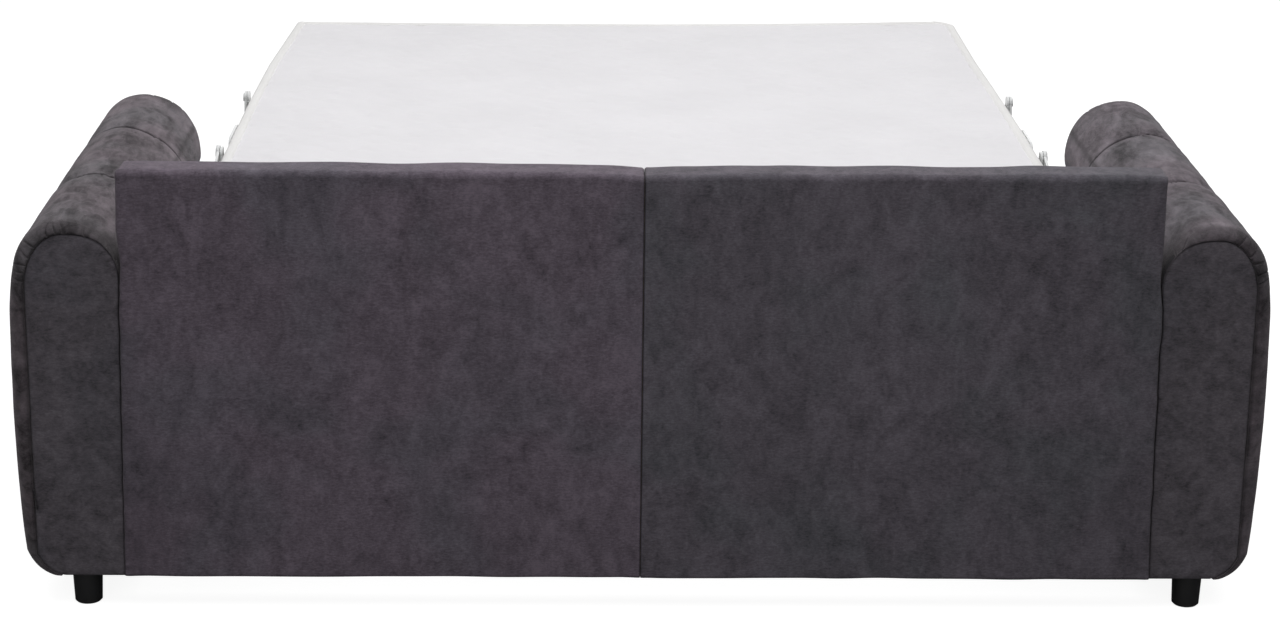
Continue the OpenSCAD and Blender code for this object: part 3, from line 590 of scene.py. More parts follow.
def end_stitches(name, side, finish):
    """The row of hand stitches that closes the cover over the board's end, above the arm."""
    from_end = np.linspace(0, stitch_reach, 7)
    x = side * (cover_high.x - from_end)
    y = cover_high.y - rolled_in(from_end, panel_end_radius) + stitch_rise
    points, faces = [], []
    lowest, highest = cover_high.z - stitch_start, cover_high.z - panel_top_radius
    for level in np.arange(lowest, highest, stitch_pitch):
        path = points_from(x, y, level + stitch_slant * (from_end - stitch_reach))
        tube, around = flat_tube(path, stitch_width, stitch_width, 6)
        faces += shifted(around, len(points))
        points += tube.tolist()
    dress(object_from(name, points, faces, [finish]), [], "root")


panel_half("panel_cloth_left", 1, "rear_cover_left", panel_warm, seed=11)
panel_half("panel_cloth_right", -1, "rear_cover_right", panel_shaded, seed=23)
thread = suede("dark_thread", (0.02, 0.018, 0.021), (0.02, 0.018, 0.021))
end_stitches("end_stitches_left", 1, thread)

# Arms: plywood frames under thick wadding, covered in three sewn lengths of the same cloth. The
# cover is gathered in tucks round the arched facings and pulled down along the two cross seams.
arm_low, arm_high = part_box("arm_padding_left")
arm_face = arm_low.x
arm_length = arm_high.y - arm_low.y
arch_half = 0.093
arch_rise = 0.110
arch_level = arm_high.z - arch_rise
arch_length = math.pi * (arch_half + arch_rise) / 2
top_width = 0.189
foot_width = 0.183
belly = 0.007
corner_height = 0.040
corner_reach = 0.035
padding = 0.030
lining = 0.003
end_padding = 0.017
end_square = 0.78
end_square_reach = 0.03
end_tuck = 0.006
end_tuck_reach = 0.004
arm_step = 0.007
arm_end_step = 0.0021
arm_end_reach = 0.055
arm_least_step = 0.0004
arch_steps = 250
side_steps = 60
corner_steps = 12
end_roll = 0.032
end_share = 0.9
# The two cross seams, as shares of the arm's length, with the groove and the hollow along each,
# and the width of the painted shade down each
seam_shares = (0.358, 0.711)
seam_reach = 0.0034
seam_drift = 0.0022
seam_groove = 0.19
seam_hollow = 0.15
hollow_reach = 0.024
seam_pucker = 0.1
pucker_fade = 0.04
arm_seam_width = 0.0046
# How far the inner side swells at each level, and where that ends at the panel and in front
arm_bulge = {1: 0.016, -1: 0.014}
bulge_levels = (0.505, 0.55, 0.60, 0.635, 0.664)
bulge_shares = (0, 1, 1, 0.65, 0)
bulge_rear = 1.08
bulge_rear_reach = 0.18
bulge_front_reach = 0.06
# How dark the painted shadow of the panel is on the inner rear end, and how far forward that
# reaches; then how dark the painted shade is on both rolled ends, on the top and on the outer side
panel_shadows = {1: (0.6, 0.058), -1: (0.72, 0.085)}
panel_shadow_height = 0.125
rolled_top_shade = 0.58
rolled_top_reach = 0.04
rolled_top_middle = 0.45
rolled_top_half = 0.38
rolled_side_shade = 0.32
rolled_side_reach = 0.013
rolled_side_start = 0.55
rolled_side_rise = 0.3
# The outer side lies a little flatter at the end of the arch and above the bottom corner, and
# rounder at its shoulder: how much, where round the section in metres, and over what reach
side_flat = 0.05
side_flat_start = arch_length * 0.85
side_flat_rise = 0.05
side_flats = ((0.13, arch_length * 0.92, 0.035), (-0.06, arch_length * 0.66, 0.04))
corner_flat = 0.05
corner_flat_up = 0.045
corner_flat_reach = 0.03
top_middle = arch_length * 0.42
top_half = arch_length * 0.4
# Loose cloth between the seams: depth, length and stretch of the broad and the small waves
loose_waves = ((0.036, 0.13, (0.8, 1.2)), (0.018, 0.04, (1.6, 0.8)))
loose_fold = 0.11
loose_fade = 0.03
least_share = -0.06
most_share = 0.97
# Tucks round each end: the deepest and the longest, their width, the widths of the painted shade
# along them, and the swell beside them
tuck_depth = 0.42
tuck_length = 0.025
tuck_width = 0.0021
tuck_line = 0.0012
tuck_shade_width = 0.006
tuck_swell = 0.12
tuck_swell_off = 0.007
tuck_swell_width = 0.005
# Where each rear end is gathered, as a share of the way round the arch from the inner face, with
# how deep and how long each tuck is, as shares of the deepest and the longest
rear_tuck_shares = {
    1: [
        (0.17, 0.8, 0.6), (0.22, 0.8, 0.7), (0.265, 0.8, 0.6), (0.405, 1.0, 0.65),
        (0.495, 0.9, 0.8), (0.54, 1.0, 0.8), (0.61, 1.0, 0.85), (0.725, 1.0, 0.9),
        (0.81, 0.9, 0.8), (0.855, 0.9, 0.8), (0.90, 0.8, 0.7), (0.955, 0.9, 0.7),
    ],
    -1: [
        (0.16, 0.8, 0.9), (0.20, 0.9, 0.9), (0.235, 0.9, 1.0), (0.29, 0.9, 1.0), (0.63, 1.0, 0.8),
        (0.745, 1.0, 0.7), (0.80, 0.8, 0.6), (0.885, 1.0, 1.0), (0.94, 0.9, 0.8),
    ],
}


def soft_power(value, power):
    """A power of a value's size, with the value's sign."""
    return np.sign(value) * np.abs(value) ** power


def arm_line(inset_in, inset_out, flat_side, inset_top=None, square=1.0):
    """The arm's section as distance from its inner face and height: arch, outer side, corner."""
    angle = np.radians(np.linspace(180, 0, arch_steps))
    power = np.where(angle > np.pi / 2, square, 1.0)
    rise = arch_rise - (inset_out if inset_top is None else inset_top)
    half = np.where(angle > np.pi / 2, arch_half - inset_in, top_width - arch_half - inset_out)
    arch = points_from(
        arch_half + half * soft_power(np.cos(angle), power),
        arch_level + rise * np.abs(np.sin(angle)) ** power,
    )
    share = np.linspace(0, 1, side_steps)
    corner_level = arm_low.z + corner_height
    bulge = 0 if flat_side else belly * 4 * share * (1 - share)
    foot = top_width if flat_side else foot_width
    across = top_width + (foot - top_width) * share + bulge - inset_out
    side = points_from(across, arch_level + (corner_level - arch_level) * share)
    turned = np.linspace(0, 1, corner_steps)[:, None]
    start = side[-1]
    corner = np.array([start[0], arm_low.z])
    end = np.array([foot_width - inset_out - corner_reach, arm_low.z])
    pull = 0.45 * corner + 0.275 * (start + end)
    bend = start * (1 - turned) ** 2 + pull * 2 * turned * (1 - turned) + end * turned**2
    return joined(arch, side, bend)


def inner_bulge(side, y, z):
    """How far the soft inner side of an arm swells towards the bed, in front of the panel."""
    forward = np.sin(ramp(bulge_rear - y, bulge_rear_reach) * np.pi / 2) ** 2
    ending = np.sqrt(ramp(y - arm_low.y, bulge_front_reach))
    return arm_bulge[side] * np.interp(z, bulge_levels, bulge_shares) * forward * ending


def gathers(seed):
    """Tucks for an end that the photograph doesn't show, in the form of the table above."""
    draw = np.random.default_rng(seed)
    places = np.arange(0.2, 0.98, 0.075) + draw.uniform(-0.03, 0.03, 11)
    return [(place, draw.uniform(0.4, 1.0), draw.uniform(0.4, 0.9)) for place in places]


def tucks(along, from_sewn, shares, seed):
    """Folds that start at a sewn end and die out on the padding, as depth and as painted shade."""
    draw = np.random.default_rng(seed)
    fold = np.zeros(np.broadcast_shapes(along.shape, from_sewn.shape))
    dark = fold.copy()
    for place, deep, long in shares:
        width = tuck_width * draw.uniform(0.9, 1.3)
        lean = draw.uniform(-0.35, 0.35)
        bend = draw.uniform(-16, 16)
        off = along - place * arch_length - lean * from_sewn - bend * from_sewn**2
        fading = near(from_sewn, long * tuck_length)
        fold = np.maximum(fold, deep * near(off, width * (0.5 + 0.5 * fading)) * fading)
        dark = np.maximum(dark, deep**0.3 * near(off, tuck_line * (1 + fading)) * fading**0.5)
        dark = np.maximum(dark, 0.35 * deep * near(off, tuck_shade_width) * fading)
        for swell_off in (tuck_swell_off, -tuck_swell_off):
            fold = fold - tuck_swell * deep * near(off - swell_off, tuck_swell_width) * fading
    return fold, dark


def arm_cover(name, side, node, finish, seed):
    """The padded cover of one arm, from its rear end to its front end."""
    outer_line = arm_line(0, 0, False)
    insets = (lining - board_gap, padding - board_gap, True)
    inner_line = arm_line(*insets)
    end_line = arm_line(*insets, end_padding - board_gap, end_square)
    end_reach = np.linalg.norm(outer_line - end_line, axis=1)[None, :]
    steps = np.linalg.norm(np.diff(outer_line, axis=0), axis=1)
    along = np.concatenate([[0], np.cumsum(steps)])[None, :]
    distance = spaced(0, arm_length, arm_step, arm_end_step, arm_end_reach)
    seams = [share * arm_length for share in seam_shares]
    near_seams = [seam + np.linspace(-4, 4, 25) * seam_reach * 0.8 for seam in seams]
    distance = np.unique(np.round(np.concatenate([distance, *near_seams]), 6))
    distance = distance[np.concatenate([[True], np.diff(distance) > arm_least_step])][:, None]
    from_rear = distance
    from_front = arm_length - distance
    from_end = np.minimum(from_rear, from_front)
    spot = points_from(side * along, distance)
    share = end_share * rolled_in(from_end, end_roll) / end_roll + 0 * along
    from_seam = (end_share - share) * end_reach
    rear_sewn, front_sewn = np.hypot(from_rear, from_seam), np.hypot(from_front, from_seam)
    rear_fold, rear_dark = tucks(along, rear_sewn, rear_tuck_shares[side], seed)
    front_fold, front_dark = tucks(along, front_sewn, gathers(seed + 40), seed + 50)
    share += tuck_depth * (rear_fold + front_fold)
    # Painted shade: the tucks, the sewn ends, the panel's shadow on the inner rear end, the rolled
    # ends
    painted_shade = np.maximum(rear_dark, front_dark) + 0.8 * near(from_seam, tuck_line)
    round_arch = along / arch_length
    shade, shade_reach = panel_shadows[side]
    panel_shadow = near(along, panel_shadow_height, 4) * near(from_rear, shade_reach, 4)
    on_roll = near(round_arch - rolled_top_middle, rolled_top_half, 4)
    rolled_top = near(from_end, rolled_top_reach, 4) * on_roll
    beside_roll = ramp(round_arch - rolled_side_start, rolled_side_rise)
    rolled_side = near(from_end, rolled_side_reach) * beside_roll
    shaded = (shade * panel_shadow, rolled_top_shade * rolled_top, rolled_side_shade * rolled_side)
    for darkened in shaded:
        painted_shade = np.maximum(painted_shade, darkened)
    share += side_flat * ramp(along - side_flat_start, side_flat_rise)
    for flatter, place, reach in side_flats:
        share += flatter * near(along - place, reach)
    share += corner_flat * near(along[0, -1] - along - corner_flat_up, corner_flat_reach)
    on_top = near(along - top_middle, top_half, 4)
    for number, seam in enumerate(seams):
        off = distance - seam - seam_drift * soft_waves(spot[..., :1], 0.12, seed + 60 + number)
        share += seam_groove * near(off, seam_reach)
        share += seam_hollow * near(off, hollow_reach) * (0.2 + 0.8 * on_top)
        pucker = creases(spot, 0.034, seed + 70 + number, (0.55, 1.5), 0.45)
        share += seam_pucker * pucker * near(off, pucker_fade) * on_top
        # Painted shade down each cross seam
        painted_shade = np.maximum(painted_shade, near(off, arm_seam_width))
    loose = ramp(from_end, loose_fade)
    loose = loose * np.clip((arch_length * 0.82 - along) / 0.06, 0.25, 1)
    for number, (depth, length, stretch) in enumerate(loose_waves):
        share -= depth * loose * soft_waves(spot, length, seed + 80 + 2 * number, stretch)
    folds = creases(spot, 0.09, seed + 84, (2.2, 0.7), 0.22)
    folds += 0.7 * creases(spot, 0.05, seed + 88, (2, 0.8), 0.25)
    share += loose_fold * loose * folds * (0.35 + 0.65 * on_top)
    share = np.clip(share, least_share, most_share)[..., None]
    at_end = near(from_end, end_square_reach)[..., None]
    flat_inner = inner_line[None] * (1 - at_end) + end_line[None] * at_end
    flat_outer = outer_line[None] * (1 - share) + flat_inner * share
    y = arm_high.y - distance
    bulge = inner_bulge(side, y, flat_outer[..., 1]) * (flat_outer[..., 0] < arch_half)
    outer = points_from(side * (arm_face + flat_outer[..., 0] - bulge), y, flat_outer[..., 1])
    tuck_in = end_tuck * near(from_end, end_tuck_reach)
    inward = np.where(from_rear < from_front, -tuck_in, tuck_in)
    inner = points_from(side * (arm_face + flat_inner[..., 0]), y + inward, flat_inner[..., 1])
    piece = shell(name, outer, inner, [finish], 55)
    mark_painted_shade(piece, painted_shade)
    dress(piece, [node], "root")


arm_nap = {"stretch": (1.2, 0.5, 1.2), "smudged": 2.7, "stroked": 1.9, "grained": 1.1}
arm_warm = suede("suede_arm_left", (0.122, 0.103, 0.115), (0.107, 0.098, 0.107), **arm_nap)
arm_cool = suede("suede_arm_right", (0.118, 0.101, 0.114), (0.103, 0.095, 0.105), **arm_nap)
arm_cover("arm_cloth_left", 1, "arm_padding_left", arm_warm, seed=301)
arm_cover("arm_cloth_right", -1, "arm_padding_right", arm_cool, seed=402)

# Arm end facings: a flat arched panel of cloth over thin foam, sewn in all round and puckered a
# little beside the rear panel. The four are alike but for their folds.
facing_sink = 0.0024
facing_slope = 0.0012
facing_wave = 0.0008
facing_pucker = 0.0028
facing_fold = 0.0009
facing_pucker_pitch = 0.017
facing_edge_reach = 0.0014
facing_slope_reach = 0.02
facing_line_width = 0.0009
spine_across = 0.080
spine_low = 0.135
# Rows of points from the sewn edge inward: distances first, then shares of the way to the spine
facing_rows = (0, 0.0006, 0.0013, 0.0022, 0.0035, 0.0055, 0.009, 0.014, 0.022, 0.034, 0.048)
facing_shares = (0.75, 0.88, 1.0)


def facing_cloth(name, side, node, finish, seed, rear):
    """A closed pad: a flat back, a side wall, and a face that rises from its sewn edge."""
    edge = arm_line(lining, padding, True, end_padding, end_square)
    inner_corner = [lining, arm_low.z]
    closing = np.linspace(edge[-1], inner_corner, 30)[1:]
    side_wall = np.linspace(inner_corner, edge[0], 90)[1:-1]
    outline = np.concatenate([edge[::2], closing, side_wall])
    if rear:
        outline[:, 0] += gap_stray(side, outline[:, 1]) * near(outline[:, 0], gap_stray_reach, 1)
    spine = points_from(spine_across, np.clip(outline[:, 1], spine_low, arch_level - 0.005))
    reach = np.linalg.norm(spine - outline, axis=1)
    count = len(outline)
    share = np.concatenate(
        [np.array(facing_rows)[:, None] / reach, np.array(facing_shares)[:, None] + np.zeros(count)]
    )
    share = np.clip(share, 0, 1)
    flat = outline * (1 - share[..., None]) + spine * share[..., None]
    in_from_edge = share * reach
    sink = facing_sink * near(in_from_edge, facing_edge_reach, 1)
    sink += facing_slope * near(in_from_edge, facing_slope_reach, 1)
    sink += facing_wave * soft_waves(flat, 0.16, seed) * ramp(in_from_edge, 0.02)
    drift = 2 * soft_waves(flat, 0.07, seed + 2)
    wrinkle = np.sin(2 * np.pi * flat[..., 1] / facing_pucker_pitch + drift)
    near_panel = near(flat[..., 0], 0.02, 1) * ramp(in_from_edge, 0.003)
    present = np.clip(soft_waves(flat[..., 1:], 0.12, seed + 4) + 0.2, 0, 1)
    sink += facing_pucker * wrinkle * near_panel * present
    fold = creases(flat, 0.12, seed + 6, (1.4, 0.8), 0.2)
    sink += facing_fold * fold * ramp(in_from_edge, 0.01)
    low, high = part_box(node)
    face_level, back_level = (high.y, low.y) if rear else (low.y, high.y)
    y = face_level - (1 if rear else -1) * np.clip(sink, 0.0002, None)
    rows = points_from(side * (arm_face + flat[..., 0]), y, flat[..., 1])
    back = rows[:1].copy()
    back[..., 1] = back_level
    rings = np.concatenate([back, rows])
    faces = grid_faces(len(rings), count, True) + [list(range(count))]
    piece = object_from(name, rings, faces, [finish], None, 50)
    # Painted shade along the sewn edge; the back, against the arm, is darkened fully
    painted_shade = 0.9 * near(in_from_edge, facing_line_width, 1)
    mark_painted_shade(piece, np.concatenate([np.ones(count), painted_shade.reshape(-1)]))
    dress(piece, [node], "root")


facing_nap = {"smudged": 1.1, "stroked": 1.3, "grained": 1.5}
# A darker copy of the suede for the facings: painted shade, as they lie in shadow
facing_shaded = suede("suede_facing_shaded", (0.1, 0.09, 0.103), (0.09, 0.083, 0.096), **facing_nap)
facing_cloth("rear_facing_cloth_left", 1, "rear_facing_left", facing_shaded, 511, True)
facing_cloth("rear_facing_cloth_right", -1, "rear_facing_right", facing_shaded, 522, True)
facing_cloth("front_facing_cloth_left", 1, "front_facing_left", facing_shaded, 533, False)
facing_cloth("front_facing_cloth_right", -1, "front_facing_right", facing_shaded, 544, False)

# Tag: a bare folded loop of dark tape, sewn into the outer seam of the left arm's rear end between
# the arm's cover and its facing.
tag_height = 0.034
tag_reach = 0.008
tag_thickness = 0.0024
tag_twist = 0.008
tag_lean = 0.002
tag_sewn_in = 0.002
tag_droop = 0.003
tag_middle = (1.0102, 0.195)
tag_rows = 9
tag_around = 16
tag_level = np.linspace(-0.5, 0.5, tag_rows)[:, None]
tag_angle = circle(tag_around)[None, :]
tag_out = 0.5 * (1 - np.cos(tag_angle))
tag_bow = tag_thickness * np.sin(tag_angle) / 2
tag_points = points_from(
    tag_middle[0] + (tag_twist * tag_level - tag_lean) * tag_out + tag_bow,
    arm_high.y - tag_sewn_in + tag_reach * tag_out,
    tag_middle[1] + tag_height * tag_level - tag_droop * tag_out,
)
dress(object_from("seam_tag", tag_points, tube_faces(tag_rows, tag_around), [thread]), [], "root")

# Arm linings: the plain cloth on the inner face of each arm, stretched over a thin felt and tacked
# under the arm. The steel side plates are bolted through it.
plain_steps = (0.012, 0.003, 0.02)
lining_radius = 0.0022
lining_wave = 0.00035
lining_fold = 0.0006
lining_depth = 0.0024


def lining_cloth(name, side, node, finish, seed):
    """A thin cloth with rolled edges, which swells with the arm and ends at the panel."""
    low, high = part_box(node)
    rear_end = high.y - gap_stray_depth
    y = spaced(low.y, rear_end, *plain_steps)[:, None]
    z = spaced(low.z, high.z, *plain_steps)[None, :]
    spot = points_from(y, z)
    from_edge = np.minimum(np.minimum(y - low.y, rear_end - y), np.minimum(z - low.z, high.z - z))
    sink = rolled_in(from_edge, lining_radius) + lining_wave * (1 + soft_waves(spot, 0.15, seed))
    sink += lining_fold * creases(spot, 0.1, seed + 2, (1.5, 0.8), 0.2)
    outer_x = arm_face + np.clip(sink, 0, lining_depth) - inner_bulge(side, y, z)
    inner = points_from(side * (arm_face + lining - board_gap), y, z)
    piece = shell(name, points_from(side * outer_x, y, z), inner, [finish])
    dress(piece, [node], "root")


lining_cloth("lining_cloth_left", 1, "arm_lining_left", panel_shaded, seed=611)
lining_cloth("lining_cloth_right", -1, "arm_lining_right", panel_shaded, seed=622)

# Front rail and fascia covers: cloth over thin foam on the two plain boards, one low between the
# arms and one that closes the head end of the bed base.
cloth_steps = (0.014, 0.002, 0.02)
cloth_end_radius = 0.003
cloth_wave = 0.0005
cloth_fold = 0.0008


def board_cloth(name, node, board, body, finish, seed, radius, facing, goes_down):
    """A pad up one face of its board and over the top, and down the back where it goes there."""
    low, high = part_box(node)
    board_near, board_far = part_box(board)
    face, back = (low.y, high.y) if facing < 0 else (high.y, low.y)
    into = -facing
    rear_radius = 0.4 * radius if goes_down else 0
    turn_end = back - into * rear_radius
    runs = [
        points_from(face, spaced(low.z, high.z - radius, *plain_steps)),
        arc((face + into * radius, high.z - radius), (-into * radius, radius), 0, 90, 10),
        points_from(np.linspace(face + into * radius, turn_end, 8), high.z),
    ]
    if goes_down:
        centre = (turn_end, high.z - rear_radius)
        runs.append(arc(centre, (into * rear_radius, rear_radius), 90, 0, 6))
        runs.append(points_from(back, np.linspace(high.z - rear_radius, low.z, 12)))
    line = joined(*runs)
    normal = outward(line) * into
    inner_line = on_board(line, board_near, board_far, board_far.z + board_gap)
    x = spaced(low.x, high.x, *cloth_steps)[:, None]
    y, z = line.T
    spot = points_from(x, z)
    inset = rolled_in(np.minimum(x - low.x, high.x - x), cloth_end_radius)
    inset = inset + cloth_wave * (1 + soft_waves(spot, 0.2, seed))
    inset += cloth_fold * creases(spot, 0.09, seed + 3, (0.7, 1.6), 0.25)
    inset = np.minimum(inset, 0.8 * np.linalg.norm(line - inner_line, axis=1))
    outer = points_from(x, y - normal[:, 0] * inset, z - normal[:, 1] * inset)
    piece = shell(name, outer, points_from(x, *inner_line.T), [finish])
    dress(piece, [node], body)


rail = ("rail_cloth", "front_rail_cover", "front_rail_board", "root", panel_shaded)
fascia = ("fascia_cloth", "fascia_cover", "fascia_board", "seat_section", panel_warm)
board_cloth(*rail, seed=711, radius=0.006, facing=-1, goes_down=True)
board_cloth(*fascia, seed=722, radius=0.009, facing=1, goes_down=False)

# Mattress: foam in quilted white ticking, with a plain ivory band round its sides and a folded tape
# sewn along its edges. It folds at two places; here it is two lengths, and no section carries them.
head_low, head_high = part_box("head_mattress")
middle_low, middle_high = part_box("middle_mattress")
foot_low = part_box("foot_mattress")[0]
quilt_pitch = 0.064
quilt_wave = 0.085
quilt_swing = 0.010
quilt_puff = 0.0034
quilt_fade = 0.02
quilt_sharpness = 0.55
quilt_drift = 0.006
quilt_wrinkle = 0.0007
edge_drop = 0.004
edge_drop_reach = 0.006
top_inset = 0.002
side_inset = 0.0008
tape_width = 0.020
tape_height = 0.009
tape_sides = 10
tape_sunk = 0.47
tape_bared = 0.45
tape_overhang = 0.3
tape_inset = 0.006
tape_gap = 0.0006
band_bulge = 0.0028
mattress_step = 0.0062
mattress_end_step = 0.0018
mattress_end_reach = 0.05
mattress_sag = 0.004
sag_reach = 0.12
across_steps = 260
down_steps = 17
bottom_steps = 41
bed_part_split = 0.5 * (middle_low.y + middle_high.y)
head_corner = 0.015
corner_round = {1: 0.009, -1: 0.05}
# How far the sides draw in towards the foot end, and how the far edge lies out of level
draw_places = {1: (-1.14, -0.66, -0.3), -1: (-1.07, -0.73, -0.47, -0.1)}
side_draws = {1: (0.021, 0.004, 0.0), -1: (0.0115, 0.0095, 0.004, 0.0)}
tilt_from = -0.35
tilt_places = (-0.72, -0.4, -0.08, 0.72)
far_tilts = (0.007, 0.0022, -0.001, -0.005)
knit_cloth, knit_in = new_group(
    "knit_cloth",
    {"Tone": (0.8, 0.8, 0.8, 1), "Knit Scale": 900.0, "Wrinkle Scale": 30.0, "Wrinkles": 0.5},
)
knit_place = add_node(knit_cloth, "ShaderNodeTexCoord")["UV"]
knit = noise(knit_cloth, knit_place, knit_in["Knit Scale"], 1.0, 0.5)
knit_across = scaled_by(knit_cloth, knit_place, (0.45, 1.8, 1))
wrinkle = noise(knit_cloth, knit_across, knit_in["Wrinkle Scale"], 4.0, 0.55, 0.9)
cloudy = noise(knit_cloth, knit_place, 4.0, 3.0, 0.5)
knit_shade = remap(knit_cloth, cloudy, 0.3, 0.7, 0.965, 1.02)
knit_fine = remap(knit_cloth, knit, 0.2, 0.8, 0.97, 1.02)
knit_toned = mix_colour(knit_cloth, 1.0, knit_in["Tone"], knit_shade, "MULTIPLY")
ridges = calculate(knit_cloth, "ABSOLUTE", calculate(knit_cloth, "SUBTRACT", wrinkle, 0.5))
ridge_part = calculate(knit_cloth, "MULTIPLY", ridges, knit_in["Wrinkles"])
close_group(
    knit_cloth,
    mix_colour(knit_cloth, 1.0, knit_toned, knit_fine, "MULTIPLY"),
    remap(knit_cloth, wrinkle, 0.3, 0.7, 0.95, 0.85),
    calculate(knit_cloth, "ADD", ridge_part, calculate(knit_cloth, "MULTIPLY", knit, 0.12)),
)


def cotton(name, tone, knit_scale, wrinkle_scale, wrinkles, depth):
    """Ticking, side band or tape: pale cotton with its knit and its wrinkles."""
    material, tree, shader = new_finish(
        name, Specular_IOR_Level=0.2, Sheen_Weight=0.15, Sheen_Roughness=0.5
    )
    inputs = {
        "Tone": (*tone, 1),
        "Knit Scale": knit_scale,
        "Wrinkle Scale": wrinkle_scale,
        "Wrinkles": wrinkles,
    }
    finish_from(tree, shader, knit_cloth, inputs, depth)
    return material


ticking = cotton("mattress_ticking", (0.885, 0.87, 0.895), 700.0, 26.0, 1.7, 0.0016)
tape_cloth = cotton("edge_tape", (0.9, 0.89, 0.88), 1200.0, 60.0, 0.35, 0.0008)
band_cloth = cotton("side_band", (0.8, 0.79, 0.76), 800.0, 18.0, 0.6, 0.0014)


def coordinates(mesh):
    """The points of a mesh."""
    place = np.empty(len(mesh.vertices) * 3)
    mesh.vertices.foreach_get("co", place)
    return place.reshape(-1, 3)


def move_points(mesh, place):
    """Puts the points of a mesh in new places."""
    mesh.vertices.foreach_set("co", place.reshape(-1))
    mesh.update()


def quilt(x, y):
    """Height of the quilted top: puffs between wavy seams that run across the bed."""
    spot = points_from(x, y)
    drift = 0.5 * soft_waves(spot, 0.5, 901)
    swing = quilt_swing * np.sin(2 * np.pi * x / quilt_wave + 1.5 * drift)
    lane = (y + swing + quilt_drift * soft_waves(spot, 0.2, 903)) / quilt_pitch
    puffs = np.abs(np.sin(np.pi * lane)) ** quilt_sharpness
    return quilt_puff * puffs + quilt_wrinkle * soft_waves(spot, 0.05, 905)


def mattress_piece(name, y_head, y_foot, nodes):
    """A length of mattress: one end is an end of the bed, the other a plain cut, with one fold."""
    at_foot = y_foot == foot_low.y
    low_z, high_z = head_low.z, head_high.z
    half = head_high.x - side_inset
    length = y_head - y_foot
    distance = spaced(0, length, mattress_step, mattress_end_step, mattress_end_reach)
    y = y_head - distance
    from_end = length - distance if at_foot else distance
    edges = {}
    for side in (1, -1):
        corner = corner_round[side] if at_foot else head_corner
        drawn_in = np.interp(y, draw_places[side], side_draws[side])
        edges[side] = half - rolled_in(from_end, corner) - drawn_in

    def end_sag(x, distance_in):
        """How far the soft top of the far end hangs at a place."""
        fading = np.clip(1 - distance_in / sag_reach, 0, 1)
        return mattress_sag * fading * np.cos(np.pi * x / (2 * half)) * at_foot

    tape_drop = tape_height * tape_bared
    left, right = (edges[side][:, None] - tape_width * tape_overhang for side in (1, -1))
    across = np.concatenate([np.linspace(-1, 1, across_steps), 1 - np.geomspace(0.0015, 0.03, 8)])
    across = np.unique(np.concatenate([across, -across]))
    x_top = np.where(across > 0, across * left, across * right)
    from_edge = np.minimum(np.minimum(left - x_top, x_top + right), from_end[:, None])
    puffed = quilt(x_top, y[:, None]) * ramp(from_edge, quilt_fade)
    top = high_z - tape_drop - top_inset + puffed - edge_drop * near(from_edge, edge_drop_reach, 1)
    top = top - end_sag(x_top, from_end[:, None])
    down = np.linspace(0, 1, down_steps)
    bulge = band_bulge * np.sin(np.pi * down)
    wall_z = top[:, -1:] + (low_z + tape_drop - top[:, -1:]) * down
    bottom = np.linspace(1, -1, bottom_steps)
    x_bottom = np.where(bottom > 0, bottom * left, bottom * right)
    rings = np.concatenate(
        [
            points_from(x_top, y[:, None], top),
            points_from(left + bulge, y[:, None], wall_z)[:, 1:-1],
            points_from(x_bottom, y[:, None], low_z + top_inset),
            points_from(-right - bulge[::-1], y[:, None], wall_z[:, ::-1])[:, 1:-1],
        ],
        1,
    )
    columns = rings.shape[1]
    faces = tube_faces(len(rings), columns)
    kind = np.ones(columns, int)
    kind[: len(across) - 1] = 0
    slots = [*np.tile(kind, len(rings) - 1), 1, 1]
    points = rings.reshape(-1, 3)

    def tape_path(level):
        """Along one side, across the end of the bed, and back along the other side."""
        order = slice(None, None, 1 if at_foot else -1)
        run, back = (
            points_from(side * (edges[side] - tape_width * tape_sunk), y, level)[order][:-3]
            for side in (1, -1)
        )
        x = np.linspace(run[-1, 0] - tape_inset, back[-1, 0] + tape_inset, 120)
        drop = end_sag(x, 0) if level > (low_z + high_z) / 2 else 0
        end_y = y_foot + tape_inset if at_foot else y_head - tape_inset
        end = points_from(x, end_y, level - drop)
        return np.concatenate([run, end, back[::-1]])

    tape_level = tape_height / 2 + tape_gap
    for level in (high_z - tape_level, low_z + tape_level):
        tube, around = flat_tube(tape_path(level), tape_width, tape_height, tape_sides)
        faces += shifted(around, len(points))
        slots += [2] * len(around)
        points = np.concatenate([points, tube])
    beyond = ramp(tilt_from - points[:, 1], tilt_from - foot_low.y)
    risen = (points[:, 2] - low_z) / (high_z - low_z)
    points[:, 2] += np.interp(points[:, 0], tilt_places, far_tilts) * beyond**2 * risen
    piece = object_from(name, points, faces, [ticking, band_cloth, tape_cloth], slots)
    place = coordinates(piece.data)
    corner = np.empty(len(piece.data.loops), np.int32)
    piece.data.loops.foreach_get("vertex_index", corner)
    flat = points_from(place[:, 0] - place[:, 2], place[:, 1] + place[:, 2])
    piece.data.uv_layers.new(name="plan").data.foreach_set("uv", flat[corner].reshape(-1))
    dress(piece, nodes, None)
    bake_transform(piece)


mattress_piece(
    "mattress_head",
    head_high.y,
    bed_part_split,
    ["head_mattress", "middle_mattress"],
)
mattress_piece(
    "mattress_foot",
    bed_part_split,
    foot_low.y,
    ["foot_mattress"],
)

